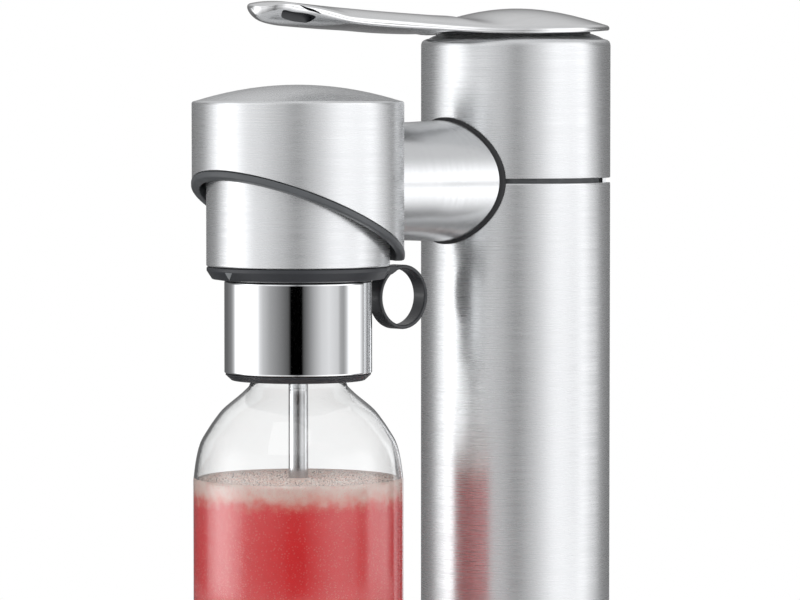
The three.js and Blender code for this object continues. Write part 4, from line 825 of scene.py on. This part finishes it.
lever = {
    "reach": 149.7, "disc": 41, "low": 412.6, "rise": 12.7, "arm": 12, "neck": 96, "joint": 0.6, "edge": 0.9,
    "soft": 0.45, "domeTo": 0.2, "domeEase": 0.1, "bellyFrom": 0.33, "bellyEase": 0.03,
    "wall": 2, "hollowEnd": 52, "hollowLow": 405, "least": 0.05, "pocketCore": 6.5, "slitCore": 9.5, "cutPast": 2,
    "boss": [(6.3, 415.6, 0.3), (8.5, 415.6, 0.3), (8.5, 423), (6.3, 423)],
    "webHalf": 6, "web": (24.4, 31.6, 410, 418.6), "eye": 3.6, "pinHole": 2.35,
    # Painted shade in the pocket and slit: where it begins, as a share of the reach, and the normals and distance that
    # pick its faces.
    "paintedShadeFrom": 0.8, "floorNormal": 0.999, "wallNormal": 0.001, "near": 0.01,
    "bandLow": [(-0.27, 0.17), (-0.16, 0.14), (-0.03, 0.07), (0.06, 0.03), (0.2, 0), (0.32, 0.06), (0.41, 0.12),
                (0.57, 0.21), (0.65, 0.26), (0.71, 0.33), (0.765, 0.44), (0.82, 0.57), (0.9, 0.67), (0.95, 0.74),
                (1, 0.7)],
    "bandHigh": [(-0.27, 0.31), (-0.16, 0.3), (0.07, 0.24), (0.21, 0.23), (0.32, 0.28), (0.42, 0.35), (0.54, 0.43),
                 (0.71, 0.54), (0.765, 0.66), (0.82, 0.77), (0.9, 0.88), (0.95, 0.93), (1, 0.84)],
    "crest": [(-0.27, 0.32), (-0.24, 0.47), (-0.207, 0.64), (-0.1, 0.85), (0, 0.913), (0.1, 0.85), (0.2, 0.69),
              (0.26, 0.63), (0.33, 0.63), (0.4, 0.66), (0.54, 0.73), (0.64, 0.79), (0.76, 0.87), (0.87, 0.95),
              (0.94, 0.993), (0.98, 0.94), (1, 0.86)],
    "belly": [(0.33, 0.05), (0.36, 0.0), (0.42, -0.03), (0.55, -0.01), (0.66, 0.055), (0.765, 0.1), (0.885, 0.17),
              (0.925, 0.21), (0.965, 0.3), (0.985, 0.41), (1, 0.55)],
    "pocket": [(0.951, 0.677), (0.922, 0.63), (0.888, 0.598), (0.86, 0.559), (0.834, 0.48), (0.838, 0.346),
               (0.852, 0.283), (0.888, 0.315), (0.918, 0.37), (0.944, 0.472)],
    "slit": [(0.901, 0.85), (0.875, 0.78), (0.848, 0.709), (0.821, 0.575), (0.848, 0.638), (0.875, 0.7)],
}
leverSteps = {"rear": 22, "front": 84, "tip": 16, "across": 18, "hollow": 24, "hollowAcross": 12, "cut": 6}


def leverHalf(place, inset=0.0):
    # Half the lever's width at a place from the column's axis.
    radius = lever["disc"] - inset
    joint = radius * lever["joint"]
    arm, end, tip = lever["arm"] - inset, lever["reach"] - inset, lever["arm"]
    if place <= joint:
        return math.sqrt(max(radius ** 2 - place ** 2, 0))
    if place > end - tip:
        return arm * math.sqrt(max(1 - ((place - end + tip) / tip) ** 2, 0))
    if place > lever["neck"]:
        return arm
    span = lever["neck"] - joint
    t = (place - joint) / span
    width = math.sqrt(radius ** 2 - joint ** 2)
    return ((2 * t ** 3 - 3 * t ** 2 + 1) * width + (t ** 3 - 2 * t ** 2 + t) * span * -joint / width
            + (3 * t ** 2 - 2 * t ** 3) * arm)


def edgeDistance(place, x):
    # How far inside the lever's outline a point lies.
    if place <= lever["disc"] * lever["joint"]:
        return lever["disc"] - math.hypot(place, x)
    start = lever["reach"] - lever["arm"]
    if place > start:
        return lever["arm"] * (1 - math.hypot((place - start) / lever["arm"], x / lever["arm"]))
    return leverHalf(place) - abs(x)


def leverHeight(name, share):
    return lever["low"] + lever["rise"] * along(lever[name], share)


def sines(count, start=0):
    return [math.sin(math.pi / 2 * k / count) for k in range(start, count + 1)]


def leverPlaces(count, end=None, inset=0.0):
    disc, steps, straight = lever["disc"] - inset, leverSteps["rear"], lever["reach"] - lever["arm"]
    rear = [-disc * math.cos(math.pi / 2 * k / steps) for k in range(steps)]
    if end is not None:
        return rear + [end * k / count for k in range(count + 1)]
    return rear + [straight * k / count for k in range(count)] + [
        straight + lever["arm"] * sine for sine in sines(leverSteps["tip"])]


def leverOutside():
    rows = []
    across = sines(leverSteps["across"], -leverSteps["across"])
    for place in leverPlaces(leverSteps["front"]):
        share = place / lever["reach"]
        half = leverHalf(place)
        low, high, crest = (leverHeight(name, share) for name in ("bandLow", "bandHigh", "crest"))
        belly = ease(low, leverHeight("belly", share), (share - lever["bellyFrom"]) / lever["bellyEase"])
        domed = ease(min(half / lever["disc"], 1), 1, (share - lever["domeTo"]) / lever["domeEase"])
        soft = min(lever["edge"], lever["soft"] * (high - low))

        def drop(x):
            into = soft - min(max(edgeDistance(place, x), 0), soft)
            return soft - math.sqrt(max(soft ** 2 - into ** 2, 0))

        top = [Vector((s * half, -place, high + (crest - high) * (1 - s * s) * domed - drop(s * half))) for s in across]
        under = [Vector((-s * half, -place, low + (belly - low) * (1 - s * s) + drop(s * half))) for s in across]
        rows.append(top + under)
    return skinned(rows, around=False)


def leverHollow():
    inset = lever["wall"]
    rows = []
    across = sines(leverSteps["hollowAcross"], -leverSteps["hollowAcross"])
    for place in leverPlaces(leverSteps["hollow"], lever["hollowEnd"], inset):
        share = place / lever["reach"]
        half = max(leverHalf(place, inset), lever["least"])
        high, crest = leverHeight("bandHigh", share), leverHeight("crest", share)
        domed = min(half / lever["disc"], 1)
        top = [Vector((s * half, -place, high - inset / 2 + (crest - high - inset / 2) * (1 - s * s) * domed))
               for s in across]
        rows.append(top + [Vector((half, -place, lever["hollowLow"])), Vector((-half, -place, lever["hollowLow"]))])
    return skinned(rows, around=False)


def sideCuts(name, core):
    # The pocket or slit, as a smooth closed outline cut into both sides.
    table = lever[name]
    outline = []
    for k in range(len(table)):
        a, b, c, d = (Vector(table[(k + i) % len(table)]) for i in (-1, 0, 1, 2))
        for step in range(leverSteps["cut"]):
            t = step / leverSteps["cut"]
            outline.append(0.5 * (2 * b + (c - a) * t + (2 * a - 5 * b + 4 * c - d) * t ** 2
                                  + (3 * b - a - 3 * c + d) * t ** 3))
    cuts = []
    for side in (-1, 1):
        rows = [[Vector((side * x, -share * lever["reach"], lever["low"] + lever["rise"] * height))
                 for share, height in outline] for x in (core, lever["arm"] + lever["cutPast"])]
        cuts.append(raw(skinned(rows, around=False)))
    return cuts


def buildLever():
    handle = raw(leverOutside())
    worked(handle, raw(leverHollow()), *sideCuts("pocket", lever["pocketCore"]), *sideCuts("slit", lever["slitCore"]))
    y, z, half = leverPin["y"], leverPin["z"], lever["webHalf"]
    boss = raw(turned(lever["boss"], 64))
    web = raw(block(half, *lever["web"], 0.4))
    eye = raw(turnedAlongX([(leverPin["radius"], -half, 0.2), (lever["eye"], -half, 0.4), (lever["eye"], half, 0.4),
                            (leverPin["radius"], half, 0.2)], y, z, 48))
    past = half + lever["cutPast"]
    worked(web, raw(turnedAlongX(rod(lever["pinHole"], -past, past), y, z, 48)))
    blade = settled(joined(handle, boss, web, eye), "lever_blade", columnY, "lever", "polished",
                    "lever_handle", sharp=28)
    # The black plastic slot is painted shade: it darkens the floors and walls of the pocket and slit towards the tip.
    blade.data.materials.append(finishes["blackPlastic"])
    cores = lever["pocketCore"], lever["slitCore"]
    for face in blade.data.polygons:
        aside, ahead, turnedOut = abs(face.center.x) / mm, (columnY * mm - face.center.y) / mm, abs(face.normal.x)
        floor = turnedOut > lever["floorNormal"] and min(abs(aside - core) for core in cores) < lever["near"]
        wall = turnedOut < lever["wallNormal"] and lever["pocketCore"] < aside < lever["arm"]
        face.material_index = int((floor or wall) and ahead > lever["paintedShadeFrom"] * lever["reach"])


buildLever()
print("lever built")


# Arm

arm = {"waist": 25.3, "wide": 26.4, "inner": 23.8, "headSide": 44.58, "columnSide": 43.6, "edge": 0.35,
       "edgeDepth": 0.02,
       "radii": [(-125.7, 25.3), (-67.3, 25.3), (-52.65, 25.85), (-34.4, 26.4), (-28.3, 26.4)],
       "gasket": [(22.3, 40), (24.3, 40), (24.3, 41.8), (27.4, 41.8, 0.3), (27.4, 43.4, 0.6), (22.3, 43.4)]}


def aroundArm(sectionOf, steps=144):
    # Rows of points about the arm's axis; sectionOf gives (radius, y) points for a side offset share.
    rows = []
    for k in range(steps):
        angle = 2 * math.pi * k / steps
        rows.append([Vector((radius * math.cos(angle), y, armHeight + radius * math.sin(angle)))
                     for radius, y in sectionOf(math.cos(angle))])
    return skinned(rows)


def buildArm():
    a, steps = arm, 24

    def tubeSection(aside):
        start = -machine["headReach"] + math.sqrt(a["headSide"] ** 2 - (a["waist"] * aside) ** 2)
        end = -math.sqrt(a["columnSide"] ** 2 - (a["wide"] * aside) ** 2)
        outer = [start + (end - start) * k / steps for k in range(steps + 1)]
        return [*((along(a["radii"], y), y) for y in outer), (along(a["radii"], end) - a["edge"], end + a["edgeDepth"]),
                (a["inner"], end), (a["inner"], start)]

    def gasketSection(aside):
        return [(radius, -math.sqrt(face ** 2 - (radius * aside) ** 2)) for radius, face in eased(a["gasket"])]

    settled(raw(aroundArm(tubeSection)), "arm_sleeve", columnY, "frame", "brushedArm", "arm_tube")
    settled(raw(aroundArm(gasketSection)), "arm_gasket_ring", columnY, "frame", "rubber", "arm_gasket")


buildArm()
print("arm built")


# Head

head = {"wall": 1.5, "top": 390.5, "shoulder": 383.6, "corner": 1.2, "edge": 335.4, "slant": 19.8, "skirt": 319.6,
        "roof": (42, 39, 35, 30, 25, 20, 15, 10, 5, 0), "roofNormal": 0.9, "sideTop": 381, "armHole": (22.3, 10, 50),
        "linerInner": 41.2, "linerFit": 42.7, "linerRim": 44.8, "linerDrops": (3.2, 0.3), "linerTop": 358,
        "cup": [(34, 314.6, 0.3), (38.5, 314.6, 0.7), (38.5, 352.3, 0.4), (37, 352.3, 0.4), (37, 316.1),
                (34, 316.1, 0.3)]}


def headEdge(radius, angle):
    # Height of the slanted edge, which is level at the rear.
    slanted = head["edge"] - head["slant"] * radius * math.sin(angle) / machine["headRadius"]
    return max(slanted, head["skirt"])


def dome(radius):
    spread = machine["headRadius"] - head["corner"]
    return head["top"] - (head["top"] - head["shoulder"]) * (radius / spread) ** 2


def aroundHead(sectionOf, steps=192, closed=True):
    rows = []
    for k in range(steps):
        angle = 2 * math.pi * k / steps
        rows.append([Vector((radius * math.cos(angle), radius * math.sin(angle), height))
                     for radius, height in sectionOf(angle)])
    return skinned(rows, closed=closed)


def buildHead():
    h, outer, inner = head, machine["headRadius"], machine["headRadius"] - head["wall"]
    armHole = lambda: raw(turnedAlongY(rod(*h["armHole"]), 0, armHeight))

    def shellSection(angle):
        roof = [(radius, dome(radius)) for radius in h["roof"]]
        ceiling = [(radius, height - h["wall"]) for radius, height in reversed(roof[1:])]
        side = eased([(inner, h["sideTop"]), (inner, headEdge(inner, angle), 0.2),
                      (outer, headEdge(outer, angle), 0.35), (outer, dome(outer - h["corner"]) - 0.2, 1.1), roof[0]],
                     closed=False)
        return ceiling + [tuple(point) for point in side] + roof[1:]

    def linerSection(angle):
        place = lambda radius, drop: (radius, headEdge(radius, angle) - drop)
        deep, shallow = h["linerDrops"]
        return eased([(*place(h["linerInner"], deep), 0.5), (*place(h["linerRim"], deep), 1.1),
                      (*place(h["linerRim"], shallow), 0.6), place(h["linerFit"], shallow),
                      (h["linerFit"], h["linerTop"]), (h["linerInner"], h["linerTop"], 0.3)])

    shell = worked(raw(aroundHead(shellSection, closed=False)), armHole())
    cover = settled(shell, "head_cover", headY, "frame", "brushedRound", "head_shell")
    cover.data.materials.append(finishes["brushedTop"])
    for face in cover.data.polygons:
        face.material_index = int(face.normal.z > h["roofNormal"])
    settled(worked(raw(aroundHead(linerSection)), armHole()), "head_rim", headY, "frame", "rimPlastic", "head_liner")
    settled(raw(turned(h["cup"], 160)), "tilt_cup", headY, "carriage", "brushedRound", "carriage_cup")


buildHead()
print("head built")


# Cap

cap = {
    "collar": [(20.3, 308.6, 0.3), (31.3, 308.6, 0.3), (36.1, 309.3, 0.5), (38.4, 312.8, 0.8), (38.4, 314.3, 0.4),
               (20.3, 314.3, 0.3)],
    "collarSlot": (4.15, 18.3, 40.4, 306, 317),
    "sleeve": [(29.8, 269.9, 0.3), (31, 269.9, 0.45), (31, 308.3, 0.45), (29.8, 308.3, 0.3)],
    "foot": [(20.8, 266.8, 0.3), (28, 266.8, 0.9), (31, 269.6, 0.3), (20.8, 269.6, 0.3)],
    "tube": [(2.8, 214, 0.2), (4.1, 214, 0.4), (4.1, 329.5, 0.4), (2.8, 329.5, 0.2)],
    "tip": [(1, 204.7, 0.2), (3, 204.7, 0.8), (3, 213.7, 0.3), (2.5, 213.7), (2.5, 223, 0.3), (1, 223, 0.2)],
    "mark": {"low": (36.1, 309.3), "high": (38.4, 312.8), "sink": 0.15, "proud": 0.12,
             "corners": [(-2.6, 0.97), (-2.2, 0.06), (4.0, 0.97)]},
}
fingerRing = {"middle": (56.4, 300), "ring": [(12, -3.85, 0.8), (13.8, -3.85, 0.8), (13.8, 3.85, 0.8), (12, 3.85, 0.8)],
              "bar": (3.85, 10.6, 52.4, 309.8, 313.6, 0.5), "fork": (2.4, 8.6, 16.6, 307.8, 315.6), "finger": 11.98,
              "hinge": (32.5, 311.7), "hingeRadius": 1.3, "through": 14}


def frontMark():
    # The small triangle on the collar's front slope. Its corners are degrees from the front and shares of the slope.
    mark = cap["mark"]
    low, high = Vector(mark["low"]), Vector(mark["high"])
    slope = (high - low).normalized()
    out = Vector((slope.y, -slope.x))
    bm = bmesh.new()
    layers = []
    for lift in (-mark["sink"], mark["proud"]):
        layer = []
        for angle, share in mark["corners"]:
            radius, height = low.lerp(high, share) + out * lift
            layer.append(bm.verts.new((radius * math.sin(angle * degree), -radius * math.cos(angle * degree), height)))
        layers.append(layer)
    bm.faces.new(layers[0][::-1])
    bm.faces.new(layers[1])
    for k in range(3):
        bm.faces.new((layers[0][k], layers[0][(k + 1) % 3], layers[1][(k + 1) % 3], layers[1][k]))
    return bm


def buildCap():
    collarRing = worked(raw(turned(cap["collar"], 160)), raw(block(*cap["collarSlot"])))
    settled(collarRing, "cap_collar_ring", headY, "cap", "blackPlastic", "cap_collar")
    settled(raw(frontMark()), "cap_mark", headY, "cap", "markPaint")
    for part, steps, name, finish, node in (
            ("sleeve", 192, "cap_sleeve_tube", "chrome", "cap_sleeve"),
            ("foot", 160, "cap_foot_ring", "blackPlastic", "cap_base_ring"),
            ("tube", 72, "nozzle_pipe", "nozzleSteel", "nozzle_tube"),
            ("tip", 48, "nozzle_end", "blackPlastic", "nozzle_tip")):
        settled(raw(turned(cap[part], steps)), name, headY, "cap", finish, node)


def buildFingerRing():
    f = fingerRing
    ring = raw(turnedAlongX(f["ring"], *f["middle"], 128))
    worked(ring, raw(block(*f["bar"])), operation="UNION")
    room = raw(turnedAlongX(rod(f["finger"], -f["through"], f["through"]), *f["middle"], 128))
    hole = raw(turnedAlongX(rod(f["hingeRadius"], -f["through"], f["through"]), *f["hinge"], 24))
    worked(ring, raw(block(*f["fork"])), room, hole)
    settled(ring, "release_ring_loop", headY, "release_lever", "ringPlastic", "release_ring")


buildCap()
buildFingerRing()
print("cap built")


# Bottle and drink

bottle = {
    "low": 30.5, "wall": 1.2, "step": 56.3, "lowRadius": 43.0, "corner": 7, "innerCorner": 7.6, "cornerEase": 5,
    "shoulderLow": 225, "shoulderTop": 264, "neck": 19.6, "neckSpread": 20.8, "mouth": 297,
    "shoulder": [(0, 0), (0.08, 0.14), (0.24, 0.46), (0.35, 0.61), (0.46, 0.735), (0.6, 0.87), (0.78, 0.95), (1, 1)],
    "neckRing": [(0, 286.2), (0.9, 287.1, 0.3), (0.9, 288.9, 0.3), (0, 289.8)], "neckLow": (267, 266.5),
    "shoe": [(0, 29), (38.3, 29, 3), (machine["bottleRadius"], 34.8, 3), (machine["bottleRadius"], 56, 0.35),
             (43.3, 56, 0.25), (43.3, 35.4, 3), (37.5, 30.2, 3), (0, 30.2)],
}
# The drink fills the bottle, slightly into its wall, and rises at the wall and at the nozzle. Its surface is given from
# its rim inwards, and then round the nozzle.
drink = {
    "top": 225.4, "overlap": 0.25, "bottom": [(0, 32), (36, 32), (41.6, 38.2, 5), (41.6, 55)], "sideLow": 58,
    "atWall": [(0, -0.5), (0.3, 0.35), (1.1, -0.25), (3, -0.5)],
    "atNozzle": [(6.5, -0.5), (4.9, -0.2), (4.4, 0.3), (4.15, -1)],
    "nozzle": [(4.15, 213), (3.1, 213), (3.1, 204), (0, 204)],
}


def shoulderRadius(down):
    b = bottle
    return b["neckSpread"] + (machine["bottleRadius"] - b["neckSpread"]) * along(b["shoulder"], down)


def shoulderCurve(inset, count=28):
    b = bottle
    points = [(shoulderRadius(k / count), b["shoulderTop"] - (b["shoulderTop"] - b["shoulderLow"]) * (k / count))
              for k in range(count + 1)]
    shifted = []
    for k, (radius, height) in enumerate(points):
        before, after = points[max(k - 1, 0)], points[min(k + 1, count)]
        run = Vector((after[0] - before[0], after[1] - before[1])).normalized()
        shifted.append((radius + inset * run[1], height - inset * run[0]))
    return shifted


def buildBottle():
    b, d, radius = bottle, drink, machine["bottleRadius"]
    wall, neck, lowRadius = b["wall"], b["neck"], b["lowRadius"]
    outerNeck, innerNeck = b["neckLow"]
    outside = [(0, b["low"]), (lowRadius - b["corner"], b["low"]), (lowRadius, b["low"] + b["corner"], b["cornerEase"]),
               (lowRadius, b["step"]), (radius, b["step"], 0.5), *reversed(shoulderCurve(0)), (neck, outerNeck),
               *((neck + point[0], *point[1:]) for point in b["neckRing"]), (neck, b["mouth"], 0.5)]
    inside = [(neck - wall, b["mouth"], 0.4), (neck - wall, innerNeck), *shoulderCurve(wall),
              (radius - wall, b["step"] + wall, 0.5), (lowRadius - wall, b["step"] - wall, 0.5),
              (lowRadius - wall, b["low"] + b["innerCorner"], b["cornerEase"]),
              (lowRadius - b["innerCorner"], b["low"] + wall), (0, b["low"] + wall)]
    settled(raw(turned(outside + inside, 192)), "bottle_wall", headY, "bottle", "clear", "bottle", sharp=50)
    settled(raw(turned(b["shoe"], 160)), "bottle_shoe", headY, "bottle", "brushedRound", "bottle_base")
    side = radius - wall + d["overlap"]
    rim = shoulderRadius((b["shoulderTop"] - d["top"]) / (b["shoulderTop"] - b["shoulderLow"])) - wall + d["overlap"]
    liquid = raw(turned([*d["bottom"], (side, d["sideLow"]), (side, b["shoulderLow"] - 1),
                         *((rim - inwards, d["top"] + rise) for inwards, rise in d["atWall"]),
                         *((out, d["top"] + rise) for out, rise in d["atNozzle"]), *d["nozzle"]], 192))
    settled(liquid, "red_drink_body", headY, "bottle", "drink", "drink", sharp=60)


buildBottle()
print("bottle built")


# Springs, each riding on the part that carries it; the end on that part is the low or the high one.
springs = {
    "return_spring": {"name": "return_coil", "body": "plunger", "joint": "plunger_travel", "radius": 5.5, "wire": 0.7,
                      "turns": 5, "held": "high", "travel": 1.1},
    "vent_spring": {"name": "vent_coil", "body": "vent", "joint": "vent_lift", "radius": 2.8, "wire": 0.4,
                    "turns": 4, "held": "low", "travel": 1.36},
}
coilSteps = {"turn": 40, "wire": 12}


def coil(middle, low, high, radius, wire, turns):
    count = turns * coilSteps["turn"]
    angles = [2 * math.pi * i / coilSteps["wire"] for i in range(coilSteps["wire"])]
    section = [(wire * math.cos(angle), wire * math.sin(angle)) for angle in angles]
    rows = []
    for k in range(count + 1):
        angle = 2 * math.pi * k / coilSteps["turn"]
        out = Vector((math.cos(angle), math.sin(angle), 0))
        centre = Vector((middle.x, middle.y, low + wire + (high - low - 2 * wire) * k / count))
        rows.append([centre + out * (radius + outwards) + Vector((0, 0, up)) for outwards, up in section])
    return skinned(rows, around=False)


def buildSprings():
    for node, s in springs.items():
        low, high = (Vector(corner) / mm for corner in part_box(node))
        middle = (low + high) / 2
        wound = raw(coil(middle, low.z, high.z, s["radius"], s["wire"], s["turns"]))
        piece = settled(wound, s["name"], 0, s["body"], "springSteel", node)
        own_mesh(piece)


buildSprings()
print("springs built")


# Foam: small bubbles scattered over the surface of the drink

foam = {"Spacing": 1.15, "Density": 0.9, "Least": 0.25, "Most": 0.8, "Seed": 7}
foamPlace = {"radius": 42.2, "hole": 5.0, "sides": 48, "sunk": 0.45}


def foamTree():
    tree, given, add = newTree("foamBubbles", foam)
    spots = add("GeometryNodeDistributePointsOnFaces", distribute_method="POISSON", Mesh=given["Geometry"],
                Distance_Min=given["Spacing"], Density_Max=given["Density"], Seed=given["Seed"])
    ball = add("GeometryNodeMeshUVSphere", Segments=8, Rings=5, Radius=1.0)
    size = add("FunctionNodeRandomValue", {"data_type": "FLOAT", 2: given["Least"], 3: given["Most"]},
               Seed=given["Seed"])
    many = add("GeometryNodeInstanceOnPoints", Points=spots.outputs["Points"], Instance=ball.outputs["Mesh"],
               Scale=size.outputs[1])
    return ended(tree, add, many.outputs[0], "foam")


def buildFoam():
    bm = bmesh.new()
    p = foamPlace
    sides = p["sides"]
    height = drink["top"] - p["sunk"]
    angles = [2 * math.pi * k / sides for k in range(sides)]
    inner, outer = ([bm.verts.new((radius * math.cos(angle), radius * math.sin(angle), height)) for angle in angles]
                    for radius in (p["hole"], p["radius"]))
    for k in range(sides):
        after = (k + 1) % sides
        bm.faces.new((inner[k], outer[k], outer[after], inner[after]))
    made = settled(grown(foamTree(), bm, foam), "drink_foam", headY, "bottle", "foam", sharp=80)
    print("foam faces:", len(made.data.polygons))


buildFoam()


# The nodes that keep their own shape

kept = {
    "castAluminium": ["base_plate", "arm_frame"],
    "greyPlastic": ["column_chassis", "carriage_frame", "socket_ring", "cap_core"],
    "cylinderPaint": ["co2_cylinder"],
    "brass": ["cylinder_valve", "valve_body", "tilt_axle", "gas_inlet"],
    "rubber": ["valve_seal", "gas_hose", "socket_seal", "cap_gasket"],
    "springSteel": ["relief_plug", "lever_pin", "plunger", "release_pin", "vent_stem"],
    "blackPlastic": ["lever_striker"],
}


def paintKept():
    for finish, names in kept.items():
        for name in names:
            for slot in nodes[name].material_slots:
                slot.material = finishes[finish]
    left = [name for name, node in nodes.items() if not node.hide_render and name not in sum(kept.values(), [])]
    print("nodes left plain:", left)


paintKept()
